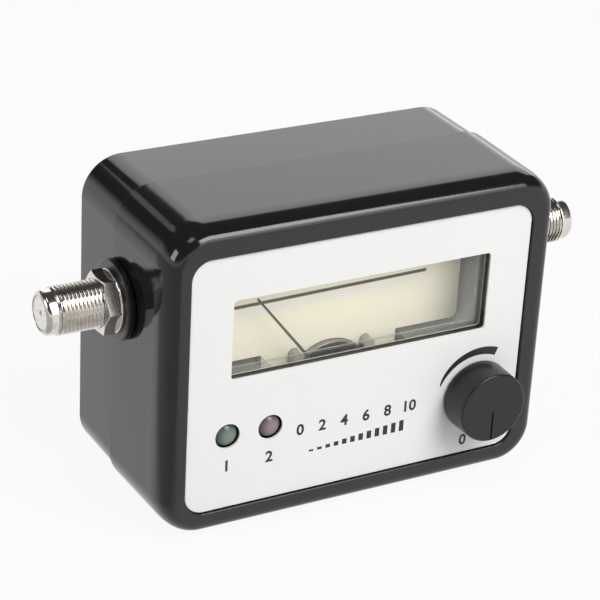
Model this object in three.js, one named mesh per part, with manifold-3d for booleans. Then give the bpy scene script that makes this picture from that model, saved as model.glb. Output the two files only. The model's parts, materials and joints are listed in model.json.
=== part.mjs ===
// A hand-held signal meter for aligning a dish: a two-shell housing with a moving-coil
// meter behind a window, a sensitivity knob, two lamps and a threaded port on each side.
// Millimetres, +Z up, the face looks towards -Y. The origin is under the middle of the part.
import * as THREE from "three";
import { mergeVertices } from "three/addons/utils/BufferGeometryUtils.js";
import Module from "manifold-3d";

const wasm = await Module();
wasm.setup();

// Clearances shared by several pieces
const overrun = 1; // how far a cutter passes the face that it cuts
const seatGap = 0.3; // between pieces that rest on each other
const slipGap = 0.05; // radial play of a pin in its hole
const quarter = Math.PI / 2;
const roundSteps = 20; // sides of a round hole or pin
const smallSteps = 10; // sides of a small round hole or pin
const fineSteps = 36; // sides of the knob and of the movement's rings
const bendSteps = 3; // steps round a small corner

// Window, placed from the label's middle
const windowCut = { halfWidth: 28.15, bottom: 0.95, top: 17.5, corner: 0.8, shellMargin: 0.5 };

// Borders that carry the window's size out to the label and from there to the housing
const border = { windowSide: 8.85, windowTop: 9.2, labelSide: 5.6, labelEnd: 5.95 };

// Label plate in the recess of the face
const label = {
  halfWidth: windowCut.halfWidth + border.windowSide,
  halfHeight: windowCut.top + border.windowTop,
  corner: 4,
  thickness: 0.4,
  sunk: 0.5, // its face lies this far behind the bezel
  x: -0.45, // the label's middle from the housing's middle
  z: -0.45,
  gap: 0.2,
};
const labelBack = label.sunk + label.thickness;

// Housing, measured from the middle of the front face, with depth going back
const housing = {
  halfWidth: label.halfWidth + border.labelSide,
  halfHeight: label.halfHeight + border.labelEnd,
  corner: 8.8,
  wall: 2.2,
  frontWall: 2.6,
  frontDepth: 24.2, // from the front face to the seam
  rearDepth: 16.7, // from the seam to the back
  edgeDepth: 4.5, // the soft front edge runs this far back
  edgeInset: 2.5, // and this far in
  rearStep: 0.55, // the rear shell is smaller by this on each side
  rearEdge: 1,
  tongueWall: 1.25,
  tongueReach: 3, // in front of the seam and behind it
  tongueGap: 0.15,
  cornerSteps: 6,
  edgeSteps: 5,
};
const backDepth = housing.frontDepth + housing.rearDepth;

// Screw bosses in the four corners
const bossInset = { side: 7, end: 7.25 }; // from the outside of the housing
const boss = {
  x: housing.halfWidth - bossInset.side,
  z: housing.halfHeight - bossInset.end,
  radius: 3,
  pilot: 1.15,
  pilotDepth: 13,
  rearRadius: 3.6,
  counterbore: 2.7,
  screwSeat: 9, // from the back to the underside of the screw's head
};
const housingScrew = { head: 2.5, headHeight: 1.8, shank: 1.1, length: 17, slot: 1.3, slotDepth: 0.9 };

// Knob and the potentiometer that it turns, placed from the label's middle
const knobInset = { side: 9.6, end: 13.1 }; // from the label's right and lower edges
const knob = {
  x: label.halfWidth - knobInset.side,
  z: knobInset.end - label.halfHeight,
  baseRadius: 7.55,
  capRadius: 7.4,
  edge: 0.35,
  proud: 6.5, // in front of the bezel
  labelGap: 0.35,
  capWall: 1.6,
  skirtWall: 1.3,
  hubRadius: 4.3,
  markWidth: 0.4,
  markDepth: 0.3,
  markInset: 0.5, // from the rim to the mark
  markLength: 6,
};
const shaft = { radius: 3, flat: 1.5, flatLength: 7, capGap: 0.4, labelHole: 4 };
const potentiometer = {
  radius: 8,
  edge: 0.4,
  front: 9.4,
  bushRadius: 3.5,
  bushEnd: 1.1,
  tagWidth: 7,
  tagDrop: 1.9,
  tagThick: 1.2,
};

// Dial sheet, which hides the back of the movement
const dial = { front: 10.8, thickness: 0.6, gap: 0.1 };
const dialPost = { radius: 1.5, side: 3.4, top: 3.3, low: 2.4 };
const dialBack = dial.front + dial.thickness;

// Movement, round the pivot of the needle
const pivotZ = -9.75;
const restAngle = THREE.MathUtils.degToRad(-38.75); // the needle rests to the left
const yoke = { inner: 8.7, outer: 9.9, front: 9.5, back: 16, lugWidth: 4 };
const core = { radius: 6.9, inset: 0.4, bore: 0.9 };
const coreFront = yoke.front + core.inset;
const coreBack = yoke.back - core.inset;
const carrier = { thickness: 0.9, earX: 8, earTop: 8.9, earWidth: 2.6, earFront: 8.6 };
const carrierRadius = yoke.outer + carrier.thickness;

// Meter case, placed from the label's middle
const meterX = -1.2;
const meterGap = { windowSide: 0.05, windowTop: 3.4, wellSide: 3, wellEnd: 0.35, back: 1.2 };
const meter = {
  halfWidth: windowCut.halfWidth - meterX + meterGap.windowSide, // inside of the clear case
  floor: -1.25,
  ceiling: windowCut.top + meterGap.windowTop,
  wall: 1.2,
  front: 2.75,
  paneFront: 1.3,
  paneThick: 1.4,
  paneGap: 0.25, // from the pane's sides to the housing's window
  wellHalfWidth: carrierRadius + meterGap.wellSide, // the well below the window holds the movement
  wellFloor: pivotZ - carrierRadius - meterGap.wellEnd,
  wellWall: 1,
  wellCorner: 1.5,
  back: yoke.back + meterGap.back, // where the base closes the case
  baseThick: 0.9,
  baseGap: 0.2,
};
const terminal = { x: 5, aboveFloor: 3.3, radius: 0.5, beyondBoard: 1 };
const terminalZ = meter.wellFloor + terminal.aboveFloor;

// Moving pieces and what holds them
const coil = { inner: 7.35, outer: 8.3, width: 3, front: 8.7, backGap: 0.4, bar: 0.9 };
const coilBack = meter.back - coil.backGap;
const spindle = { radius: 0.4, front: 5.7, backGap: 0.15, point: 0.5 };
const needle = {
  topGap: 0.65, // from the upright needle's tip to the case
  width: 0.62,
  front: 6.4,
  thickness: 0.25,
  hubRadius: 1.5,
  hubBack: 7.3,
  tail: 4.6,
  weight: 1.1,
};
const hairspring = { inner: 0.75, outer: 3.3, turns: 3, band: 0.2, front: 7.6, back: 8.2, stepsPerTurn: 14 };
const bridge = {
  front: 4.9,
  thickness: 0.8,
  reach: 9.3,
  width: 2.4,
  endRadius: 1.2,
  legRadius: 0.6,
  screwHole: 0.35,
};
const bridgeScrew = { head: 1, headHeight: 0.6, shank: 0.3, length: 3, slot: 0.3, slotDepth: 0.25 };
const jewel = { radius: 0.8, front: 4.2, back: 5.9, cup: 0.5, cupDepth: 0.35 };

// Lamps, placed from the label's middle, the red one beside the meter's well
const lampInset = { end: 15.67, well: 0.35, pitch: 9.2 };
const lampRim = { radius: 2.85, depth: 1 };
const redX = meterX - meter.wellHalfWidth - meter.wellWall - lampInset.well - lampRim.radius;
const lamp = {
  z: lampInset.end - label.halfHeight,
  greenX: redX - lampInset.pitch,
  redX,
  radius: 2.45,
  top: 0, // the dome's top is level with the bezel
  domeSteps: 4,
  bodyDepth: 7,
  hole: 2.6,
  leadSize: 0.5,
  leadPitch: 2.54,
  leadHole: 0.5,
  beyondBoard: 0.7,
};

// Ports on the two side walls, measured outwards from the wall
const port = {
  z: 10.95, // of the axis above the housing's middle
  behindBoard: 0.8, // of the axis behind the circuit board
  reach: 16.25, // from the wall to the tip
  threadRadius: 4.7625,
  wallHole: 4.95,
  noseRadius: 4.35,
  noseLength: 3,
  noseEdge: 0.6,
  noseSteps: 2,
  bore: 3.4,
  flangeRadius: 6.5,
  flangeThick: 2,
  shoulderRadius: 4,
  shoulderLength: 3,
  tongueGap: 0.6,
};
const portInner = -(housing.wall + port.flangeThick + port.shoulderLength);
const washer = { outer: 8.15, thickness: 1.6, edge: 0.3 };
const nut = { flats: 11, thickness: 2.7, collarRadius: 6.3, collarThick: 0.7, chamfer: 0.55 };
const insulator = { sunk: 0.15, hole: 0.75 };
const contact = { radius: 0.5, sunk: 1.2, tail: 5.5 };

// Circuit board behind the meter, between the ports
const boardGap = { meter: 0.1, port: 0.55, wall: 1.55 };
const postInset = { side: 12.5, end: 2.5 }; // from the board's edges
const boardHalfWidth = housing.halfWidth + portInner - boardGap.port;
const boardHalfHeight = housing.halfHeight - housing.wall - boardGap.wall;
const board = {
  corner: 2,
  front: meter.back + meter.baseGap + meter.baseThick + boardGap.meter,
  thickness: 1.6,
  bossGap: 0.5,
  postX: boardHalfWidth - postInset.side,
  postZ: boardHalfHeight - postInset.end,
  postRadius: 2.3,
  postPilot: 0.95,
  pilotDepth: 6,
  screwHole: 1.2,
};
const boardBack = board.front + board.thickness;
const portDepth = boardBack + port.behindBoard;
const boardScrew = { head: 2, headHeight: 1.3, shank: 0.9, length: 6.5, slot: 1, slotDepth: 0.6 };
const can = { width: 38, height: 18, depth: 7, wall: 0.5, corner: 1, edgeSteps: 2, z: 10.9 };
const capacitor = { radius: 2.5, height: 7, crimp: 0.3, crimpHeight: 1.2, x: 8, z: -12 };
const chip = { width: 5, height: 4, thickness: 1.6, x: -10, z: -12 };

// Colours from the photo
const finishes = {
  blackPlastic: { color: 0x1c1b1d, roughness: 0.22, metalness: 0 },
  label: { color: 0xf0f0ee, roughness: 0.5, metalness: 0 },
  clear: { color: 0xdfe2e0, roughness: 0.08, metalness: 0, transparent: true, opacity: 0.3 },
  frosted: { color: 0xb9b9b4, roughness: 0.4, metalness: 0 },
  dial: { color: 0xe9e3cf, roughness: 0.7, metalness: 0 },
  darkPlastic: { color: 0x29282a, roughness: 0.5, metalness: 0 },
  needle: { color: 0x5a544c, roughness: 0.5, metalness: 0.2 },
  nickel: { color: 0xc9c6c0, roughness: 0.18, metalness: 1 },
  steel: { color: 0x9b9a97, roughness: 0.35, metalness: 1 },
  magnet: { color: 0x45464a, roughness: 0.45, metalness: 0.8 },
  copper: { color: 0xa5582c, roughness: 0.4, metalness: 0.9 },
  greenLamp: { color: 0x6f7a72, roughness: 0.2, metalness: 0 },
  redLamp: { color: 0x87767a, roughness: 0.2, metalness: 0 },
  board: { color: 0x2f6a3c, roughness: 0.5, metalness: 0 },
  tin: { color: 0xb4b4ae, roughness: 0.35, metalness: 1 },
  white: { color: 0xeeece6, roughness: 0.45, metalness: 0 },
};

// Solids and geometry

function solidOf(geometry) {
  const bare = new THREE.BufferGeometry();
  const flat = geometry.index ? geometry.toNonIndexed() : geometry;
  bare.setAttribute("position", flat.getAttribute("position").clone());
  const merged = mergeVertices(bare, 1e-4);
  const vertProperties = new Float32Array(merged.getAttribute("position").array);
  const triVerts = new Uint32Array(merged.index.array);
  return new wasm.Manifold(new wasm.Mesh({ numProp: 3, vertProperties, triVerts }));
}

function geometryOf(solid) {
  const mesh = solid.getMesh();
  const positions = new Float32Array(mesh.numVert * 3);
  for (let i = 0; i < mesh.numVert; i++) {
    const start = i * mesh.numProp;
    positions.set(mesh.vertProperties.subarray(start, start + 3), i * 3);
  }
  const geometry = new THREE.BufferGeometry();
  geometry.setAttribute("position", new THREE.BufferAttribute(positions, 3));
  geometry.setIndex(new THREE.BufferAttribute(new Uint32Array(mesh.triVerts), 1));
  geometry.computeVertexNormals();
  return geometry;
}

function join(...solids) {
  return solids.reduce((all, solid) => all.add(solid));
}

function cut(solid, ...cutters) {
  return cutters.reduce((left, cutter) => left.subtract(cutter), solid);
}

// A straight block of the outline, from one depth to another, with the outline seen from the front.
function plate(shape, front, back, curveSegments = housing.cornerSteps) {
  const depth = back - front;
  const geometry = new THREE.ExtrudeGeometry(shape, { depth, bevelEnabled: false, curveSegments });
  geometry.rotateX(quarter);
  geometry.translate(0, back, 0);
  return solidOf(geometry);
}

// The same with a soft elliptical edge at its front, which lies at depth zero.
function softPlate(shape, depth, edgeDepth, edgeInset, edgeSteps, curveSegments = housing.cornerSteps) {
  const geometry = new THREE.ExtrudeGeometry(shape, {
    depth: depth,
    bevelEnabled: true,
    bevelThickness: edgeDepth,
    bevelSize: edgeInset,
    bevelOffset: -edgeInset,
    bevelSegments: edgeSteps,
    curveSegments,
  });
  geometry.rotateX(quarter);
  geometry.translate(0, depth + edgeDepth, 0);
  const reach = 2 * (housing.halfWidth + housing.halfHeight);
  const beyond = box(-reach, reach, depth, depth + 2 * edgeDepth + overrun, -reach, reach);
  return solidOf(geometry).subtract(beyond);
}

function box(left, right, front, back, bottom, top) {
  const geometry = new THREE.BoxGeometry(right - left, back - front, top - bottom);
  geometry.translate((left + right) / 2, (front + back) / 2, (bottom + top) / 2);
  return solidOf(geometry);
}

// A solid turned about the depth axis; the profile is [radius, depth] from the front to the back.
function turned(profile, x = 0, z = 0, steps = roundSteps) {
  const points = profile.map(([radius, depth]) => new THREE.Vector2(radius, depth));
  const geometry = new THREE.LatheGeometry(points, steps);
  geometry.translate(x, 0, z);
  return solidOf(geometry);
}

function pin(radius, front, back, x = 0, z = 0, steps = roundSteps) {
  return turned([[0, front], [radius, front], [radius, back], [0, back]], x, z, steps);
}

function ring(inner, outer, front, back, x = 0, z = 0, steps = roundSteps) {
  return cut(
    pin(outer, front, back, x, z, steps),
    pin(inner, front - overrun, back + overrun, x, z, steps),
  );
}

function roundedRectangle(left, right, bottom, top, radius) {
  const shape = new THREE.Shape();
  shape.absarc(right - radius, top - radius, radius, 0, quarter);
  shape.absarc(left + radius, top - radius, radius, quarter, 2 * quarter);
  shape.absarc(left + radius, bottom + radius, radius, 2 * quarter, 3 * quarter);
  shape.absarc(right - radius, bottom + radius, radius, 3 * quarter, 4 * quarter);
  return shape;
}

function housingOutline(inset) {
  const x = housing.halfWidth - inset;
  const z = housing.halfHeight - inset;
  return roundedRectangle(-x, x, -z, z, housing.corner - inset);
}

function atFourCorners(x, z, make) {
  return [[-x, z], [x, z], [-x, -z], [x, -z]].map(([cornerX, cornerZ]) => make(cornerX, cornerZ));
}

// The part's tree: every mesh is one piece of the real object.

function piece(name, solid, finish) {
  const mesh = new THREE.Mesh(geometryOf(solid), new THREE.MeshStandardMaterial(finishes[finish]));
  mesh.name = name;
  return mesh;
}

function place(x, y, z) {
  const group = new THREE.Group();
  group.position.set(x, y, z);
  return group;
}

// Housing

function portHoles() {
  return [-1, 1].map((side) => {
    const hole = new THREE.CylinderGeometry(port.wallHole, port.wallHole, 4 * housing.wall, roundSteps);
    hole.rotateZ(quarter);
    hole.translate(side * (housing.halfWidth - housing.wall), portDepth, port.z);
    return solidOf(hole);
  });
}

function faceHoles(margin) {
  const cuts = windowCut;
  const opening = roundedRectangle(
    label.x - cuts.halfWidth - margin,
    label.x + cuts.halfWidth + margin,
    label.z + cuts.bottom - margin,
    label.z + cuts.top + margin,
    cuts.corner,
  );
  const front = -overrun;
  const back = housing.frontWall + overrun;
  return [
    plate(opening, front, back, bendSteps),
    pin(lamp.hole, front, back, label.x + lamp.greenX, label.z + lamp.z),
    pin(lamp.hole, front, back, label.x + lamp.redX, label.z + lamp.z),
    pin(shaft.labelHole, front, back, label.x + knob.x, label.z + knob.z),
  ];
}

function frontShell() {
  const outside = softPlate(
    housingOutline(0),
    housing.frontDepth,
    housing.edgeDepth,
    housing.edgeInset,
    housing.edgeSteps,
  );
  const cavity = plate(housingOutline(housing.wall), housing.frontWall, housing.frontDepth + overrun);
  const recess = plate(labelOutline(label.gap), -overrun, labelBack);
  const posts = [
    ...atFourCorners(boss.x, boss.z, (x, z) =>
      pin(boss.radius, labelBack + overrun, housing.frontDepth - seatGap, x, z, smallSteps)),
    ...atFourCorners(board.postX, board.postZ, (x, z) =>
      pin(board.postRadius, labelBack + overrun, board.front, x, z, smallSteps)),
  ];
  const pilots = [
    ...atFourCorners(boss.x, boss.z, (x, z) =>
      pin(boss.pilot, housing.frontDepth - boss.pilotDepth, housing.frontDepth + overrun, x, z, smallSteps)),
    ...atFourCorners(board.postX, board.postZ, (x, z) =>
      pin(board.postPilot, board.front - board.pilotDepth, board.front + overrun, x, z, smallSteps)),
  ];
  const hollow = cut(outside, cavity, recess);
  return cut(join(hollow, ...posts), ...pilots, ...faceHoles(windowCut.shellMargin), ...portHoles());
}

function rearShell() {
  const outer = housing.rearStep;
  const inner = outer + housing.wall;
  const seam = housing.frontDepth;
  const tongueOuter = housing.wall + housing.tongueGap;
  const tongueInner = tongueOuter + housing.tongueWall;
  const reach = housing.tongueReach;
  const outsideGeometry = softPlate(
    housingOutline(outer),
    housing.rearDepth,
    housing.rearEdge,
    housing.rearEdge,
    housing.edgeSteps,
  );
  const outside = outsideGeometry.rotate([0, 0, 180]).translate([0, backDepth, 0]);
  const cavity = plate(housingOutline(inner), seam - overrun, backDepth - housing.wall);
  const tongue = cut(
    plate(housingOutline(tongueOuter), seam - reach, seam + reach),
    plate(housingOutline(tongueInner), seam - reach - overrun, seam + reach + overrun),
  );
  const gapHalf = port.flangeRadius + port.tongueGap;
  const tongueGaps = [-1, 1].map((side) => {
    const middle = side * (housing.halfWidth - tongueInner);
    const half = housing.tongueWall + housing.wall;
    const front = seam - reach - overrun;
    return box(middle - half, middle + half, front, seam, port.z - gapHalf, port.z + gapHalf);
  });
  const flangeRoom = [-1, 1].map((side) => {
    const room = new THREE.CylinderGeometry(gapHalf, gapHalf, 2 * housing.wall, roundSteps);
    room.rotateZ(quarter);
    room.translate(side * (housing.halfWidth - 2 * housing.wall), portDepth, port.z);
    return solidOf(room);
  });
  const postEnd = backDepth - housing.wall / 2;
  const posts = atFourCorners(boss.x, boss.z, (x, z) =>
    pin(boss.rearRadius, seam, postEnd, x, z, smallSteps));
  const sleeve = plate(housingOutline(inner - housing.rearStep), seam - overrun, postEnd);
  const trimmedPosts = posts.map((post) => post.intersect(sleeve));
  const holes = atFourCorners(boss.x, boss.z, (x, z) =>
    join(
      pin(housingScrew.shank + slipGap, seam - overrun, backDepth + overrun, x, z, smallSteps),
      pin(boss.counterbore, backDepth - boss.screwSeat, backDepth + overrun, x, z, smallSteps),
    ));
  const bossRoom = atFourCorners(boss.x, boss.z, (x, z) =>
    pin(boss.radius + seatGap, seam - reach - overrun, seam, x, z, smallSteps));
  const hollow = join(cut(outside, cavity), cut(tongue, ...tongueGaps, ...bossRoom));
  return cut(join(hollow, ...trimmedPosts), ...holes, ...portHoles(), ...flangeRoom);
}

function labelOutline(margin) {
  const x = label.halfWidth + margin;
  const z = label.halfHeight + margin;
  return roundedRectangle(label.x - x, label.x + x, label.z - z, label.z + z, label.corner + margin);
}

function frontLabel() {
  return cut(plate(labelOutline(0), label.sunk, labelBack), ...faceHoles(0));
}

function screw(size, seat, x, z) {
  const head = pin(size.head, seat, seat + size.headHeight, x, z, smallSteps);
  const shank = pin(size.shank, seat - size.length, seat + size.headHeight / 2, x, z, smallSteps);
  const slotFront = seat + size.headHeight - size.slotDepth;
  const slotBack = seat + size.headHeight + overrun;
  const half = size.slot / 4;
  const slots = [
    box(x - size.slot, x + size.slot, slotFront, slotBack, z - half, z + half),
    box(x - half, x + half, slotFront, slotBack, z - size.slot, z + size.slot),
  ];
  return cut(join(head, shank), ...slots);
}

// Knob, potentiometer and lamps

function knobBody() {
  const front = -knob.proud;
  const back = label.sunk - knob.labelGap;
  const outside = turned(
    [
      [0, front],
      [knob.capRadius - knob.edge, front],
      [knob.capRadius, front + knob.edge],
      [knob.baseRadius, back],
      [0, back],
    ],
    0,
    0,
    fineSteps,
  );
  const hollow = ring(knob.hubRadius, knob.capRadius - knob.skirtWall, front + knob.capWall, back + overrun);
  const bore = shaftForm(shaft.radius + slipGap, shaft.flat + slipGap, front + knob.capWall, back + overrun);
  const outerEnd = -(knob.capRadius - knob.markInset);
  const mark = box(
    -knob.markWidth / 2,
    knob.markWidth / 2,
    front - overrun,
    front + knob.markDepth,
    outerEnd,
    outerEnd + knob.markLength,
  );
  return cut(outside, hollow, bore, mark);
}

// The end of the shaft has a flat, so its outline is a D.
function shaftForm(radius, flat, front, back) {
  const shape = new THREE.Shape();
  const half = Math.asin(flat / radius);
  shape.absarc(0, 0, radius, half, 2 * quarter - half, true);
  return plate(shape, front, back, roundSteps);
}

function knobShaft() {
  const front = shaft.capGap + knob.capWall - knob.proud;
  const flatBack = front + shaft.flatLength;
  return join(
    shaftForm(shaft.radius, shaft.flat, front, flatBack),
    pin(shaft.radius, flatBack, potentiometer.front - slipGap),
  );
}

function potentiometerBody() {
  const back = board.front - seatGap;
  const size = potentiometer;
  const body = turned([
    [0, size.front],
    [size.radius - size.edge, size.front],
    [size.radius, size.front + size.edge],
    [size.radius, back],
    [0, back],
  ]);
  const bush = ring(shaft.radius + slipGap, size.bushRadius, size.bushEnd, size.front + slipGap);
  const tag = box(
    -size.tagWidth / 2,
    size.tagWidth / 2,
    back - size.tagThick,
    back,
    -(size.radius + size.tagDrop),
    0,
  );
  return join(body, bush, tag);
}

function lampBody() {
  const steps = lamp.domeSteps;
  const profile = [];
  for (let i = 0; i <= steps; i++) {
    const angle = (quarter * i) / steps;
    profile.push([lamp.radius * Math.sin(angle), lamp.top + lamp.radius * (1 - Math.cos(angle))]);
  }
  profile.push([lamp.radius, lamp.bodyDepth]);
  profile.push([lampRim.radius, lamp.bodyDepth]);
  profile.push([lampRim.radius, lamp.bodyDepth + lampRim.depth]);
  profile.push([0, lamp.bodyDepth + lampRim.depth]);
  const half = lamp.leadSize / 2;
  const leads = [-1, 1].map((side) => {
    const x = (side * lamp.leadPitch) / 2;
    return box(x - half, x + half, lamp.bodyDepth, boardBack + lamp.beyondBoard, -half, half);
  });
  return join(turned(profile), ...leads);
}

// Meter case, base and dial

function caseOutline(widthMargin, floorMargin, wellMargin) {
  const right = meter.halfWidth + widthMargin;
  const well = meter.wellHalfWidth + wellMargin;
  const floor = meter.floor - floorMargin;
  const upper = roundedRectangle(-right, right, floor, meter.ceiling + widthMargin, meter.wellCorner);
  const lower = roundedRectangle(
    -well,
    well,
    meter.wellFloor - wellMargin,
    floor + 2 * meter.wellCorner + floorMargin,
    meter.wellCorner,
  );
  return [upper, lower];
}

function caseBlock(margin, wellMargin, front, back) {
  const [upper, lower] = caseOutline(margin, margin, wellMargin);
  return join(plate(upper, front, back, bendSteps), plate(lower, front, back, bendSteps));
}

function meterCase() {
  const outside = caseBlock(meter.wall, meter.wellWall, meter.front, meter.back);
  const inside = caseBlock(0, 0, meter.front + meter.wall, meter.back + overrun);
  const inset = windowCut.shellMargin - meter.paneGap;
  const pane = (grow, front, back) =>
    plate(
      roundedRectangle(
        -windowCut.halfWidth - meterX - grow,
        windowCut.halfWidth - meterX + grow,
        windowCut.bottom - grow,
        windowCut.top + grow,
        windowCut.corner,
      ),
      front,
      back,
      bendSteps,
    );
  const paneBlock = pane(inset, meter.paneFront, meter.front + meter.wall / 2);
  const paneRoom = pane(inset - meter.wall, meter.paneFront + meter.paneThick, meter.front + 2 * meter.wall);
  return cut(join(outside, paneBlock), inside, paneRoom);
}

function meterBase() {
  const front = meter.back + meter.baseGap;
  const back = front + meter.baseThick;
  const floor = caseBlock(meter.wall, meter.wellWall, front, back);
  const seat = ring(yoke.inner, yoke.outer, yoke.back + slipGap, front + slipGap, 0, pivotZ);
  const posts = [];
  const postX = meter.halfWidth - dialPost.side;
  for (const x of [-postX, postX]) {
    for (const z of [dialPost.low, meter.ceiling - dialPost.top]) {
      posts.push(pin(dialPost.radius, dialBack + slipGap, front + slipGap, x, z, smallSteps));
    }
  }
  const holes = [-terminal.x, terminal.x].map((x) =>
    pin(terminal.radius + slipGap, front - overrun, back + overrun, x, terminalZ, smallSteps));
  return cut(join(floor, seat, ...posts), ...holes);
}

function meterTerminal() {
  const back = boardBack + terminal.beyondBoard;
  return pin(terminal.radius, meter.back + meter.baseGap, back, 0, 0, smallSteps);
}

// The yoke and the ears of its carrier reach through the sheet.
function dialPlate() {
  const right = meter.halfWidth - dial.gap;
  const bottom = meter.floor + dial.gap;
  const sheet = plate(
    roundedRectangle(-right, right, bottom, meter.ceiling - dial.gap, meter.wellCorner),
    dial.front,
    dialBack,
    bendSteps,
  );
  const front = dial.front - overrun;
  const back = dialBack + overrun;
  const ears = [-1, 1].map((side) => {
    const slot = plate(earOutline(side, dial.gap), front, back, bendSteps);
    return slot.translate([0, 0, pivotZ]);
  });
  return cut(sheet, pin(yoke.outer + dial.gap, front, back, 0, pivotZ, fineSteps), ...ears);
}

// Movement, drawn round its pivot

function yokeRing() {
  const shell = ring(yoke.inner, yoke.outer, yoke.front, yoke.back, 0, 0, fineSteps);
  const lugs = [-1, 1].map((side) => {
    const near = side * (core.radius - slipGap);
    const far = side * (yoke.inner + slipGap);
    const half = yoke.lugWidth / 2;
    const lug = box(-half, half, coreFront, coreBack, Math.min(near, far), Math.max(near, far));
    return cut(lug, pin(core.radius + slipGap, yoke.front, yoke.back));
  });
  return join(shell, ...lugs);
}

function coreMagnet() {
  return cut(
    pin(core.radius, coreFront, coreBack),
    pin(core.bore, coreFront - overrun, coreBack + overrun, 0, 0, smallSteps),
  );
}

function earOutline(side, margin) {
  const x = side * carrier.earX;
  const half = carrier.earWidth / 2 + margin;
  const ear = new THREE.Shape();
  ear.moveTo(x - half, half);
  ear.lineTo(x + half, half);
  ear.lineTo(x + half, carrier.earTop - carrier.earWidth / 2);
  ear.absarc(x, carrier.earTop - carrier.earWidth / 2, half, 0, 2 * quarter);
  return ear;
}

// A sleeve round the yoke behind the dial, with two ears that stand beside the yoke in front of it.
function movementCarrier() {
  const inner = yoke.outer + slipGap;
  const sleeve = ring(inner, carrierRadius, dialBack + slipGap, yoke.back, 0, 0, fineSteps);
  const ears = [-1, 1].map((side) => plate(earOutline(side, 0), carrier.earFront, yoke.back, bendSteps));
  const bore = pin(inner, carrier.earFront - overrun, yoke.back + overrun, 0, 0, fineSteps);
  return cut(join(sleeve, ...ears), bore);
}

function movingCoil() {
  const half = coil.width / 2;
  const frame = box(-coil.outer, coil.outer, coil.front, coilBack, -half, half);
  const opening = box(
    -coil.inner,
    coil.inner,
    coil.front + coil.bar,
    coilBack - coil.bar,
    -half - overrun,
    half + overrun,
  );
  return cut(frame, opening, pin(spindle.radius + slipGap, 0, meter.back, 0, 0, smallSteps));
}

function spindlePin() {
  const { radius, front, point } = spindle;
  const back = meter.back - spindle.backGap;
  return turned(
    [[0, front], [radius, front + point], [radius, back - point], [0, back]],
    0,
    0,
    smallSteps,
  );
}

function needlePointer() {
  const half = needle.width / 2;
  const back = needle.front + needle.thickness;
  const length = meter.ceiling - pivotZ - needle.topGap;
  const arm = box(-half, half, needle.front, back, -needle.tail, length);
  const hub = pin(needle.hubRadius, needle.front, needle.hubBack, 0, 0, smallSteps);
  const weight = pin(needle.weight, needle.front, needle.hubBack, 0, -needle.tail, smallSteps);
  const cross = box(-needle.tail, needle.tail, needle.front, back, -half, half);
  const bore = spindle.radius + slipGap;
  const hole = pin(bore, needle.front - overrun, needle.hubBack + overrun, 0, 0, smallSteps);
  return cut(join(arm, hub, weight, cross), hole);
}

// A flat spiral band, whose least gap to itself is its pitch less the band.
function hairspringBand() {
  const { inner, outer, turns, band, stepsPerTurn } = hairspring;
  const steps = turns * stepsPerTurn;
  const side = (offset) =>
    Array.from({ length: steps + 1 }, (_, i) => {
      const share = i / steps;
      const angle = share * turns * 4 * quarter;
      const radius = inner + (outer - inner) * share + offset;
      return new THREE.Vector2(radius * Math.cos(angle), radius * Math.sin(angle));
    });
  const shape = new THREE.Shape([...side(band / 2), ...side(-band / 2).reverse()]);
  return plate(shape, hairspring.front, hairspring.back);
}

function frontBridge() {
  const half = bridge.width / 2;
  const back = bridge.front + bridge.thickness;
  const strip = box(-bridge.reach, bridge.reach, bridge.front, back, -half, half);
  const ends = [-bridge.reach, bridge.reach].map((x) =>
    join(
      pin(bridge.endRadius, bridge.front, back, x, 0, smallSteps),
      pin(bridge.legRadius, bridge.front, yoke.front - slipGap, x, 0, smallSteps),
    ));
  const front = bridge.front - overrun;
  const screwEnd = bridge.front + bridgeScrew.length + slipGap;
  const holes = [
    pin(jewel.radius + slipGap, front, back + overrun, 0, 0, smallSteps),
    ...[-bridge.reach, bridge.reach].map((x) => pin(bridge.screwHole, front, screwEnd, x, 0, smallSteps)),
  ];
  return cut(join(strip, ...ends), ...holes);
}

function bridgeScrewAt(x) {
  const turnedRound = screw(bridgeScrew, 0, 0, 0).rotate([0, 0, 180]);
  return turnedRound.translate([x, bridge.front, 0]);
}

function pivotScrew() {
  return cut(
    pin(jewel.radius, jewel.front, jewel.back, 0, 0, smallSteps),
    pin(jewel.cup, jewel.back - jewel.cupDepth, jewel.back + overrun, 0, 0, smallSteps),
  );
}

// Circuit board and what stands on it

function circuitBoard() {
  const outline = roundedRectangle(
    -boardHalfWidth,
    boardHalfWidth,
    -boardHalfHeight,
    boardHalfHeight,
    board.corner,
  );
  const sheet = plate(outline, board.front, boardBack, bendSteps);
  const front = board.front - overrun;
  const back = boardBack + overrun;
  const leads = [];
  for (const lampX of [lamp.greenX, lamp.redX]) {
    for (const side of [-1, 1]) {
      const leadX = label.x + lampX + (side * lamp.leadPitch) / 2;
      leads.push(pin(lamp.leadHole, front, back, leadX, label.z + lamp.z, smallSteps));
    }
  }
  const terminals = [-terminal.x, terminal.x].map((terminalX) =>
    pin(
      terminal.radius + slipGap,
      front,
      back,
      label.x + meterX + terminalX,
      label.z + terminalZ,
      smallSteps,
    ));
  return cut(
    sheet,
    ...atFourCorners(boss.x, boss.z, (cornerX, cornerZ) =>
      pin(boss.radius + board.bossGap, front, back, cornerX, cornerZ, smallSteps)),
    ...atFourCorners(board.postX, board.postZ, (postX, postZ) =>
      pin(board.screwHole, front, back, postX, postZ, smallSteps)),
    ...leads,
    ...terminals,
  );
}

function shieldCan() {
  const x = can.width / 2;
  const z = can.height / 2;
  const inner = can.wall;
  const outline = roundedRectangle(-x, x, -z, z, can.corner);
  const outside = softPlate(outline, can.depth, inner, inner, can.edgeSteps, bendSteps);
  const upright = outside.rotate([0, 0, 180]).translate([0, can.depth, 0]);
  const room = box(-x + inner, x - inner, -overrun, can.depth - inner, -z + inner, z - inner);
  return cut(upright, room).translate([0, boardBack + slipGap, can.z]);
}

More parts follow.
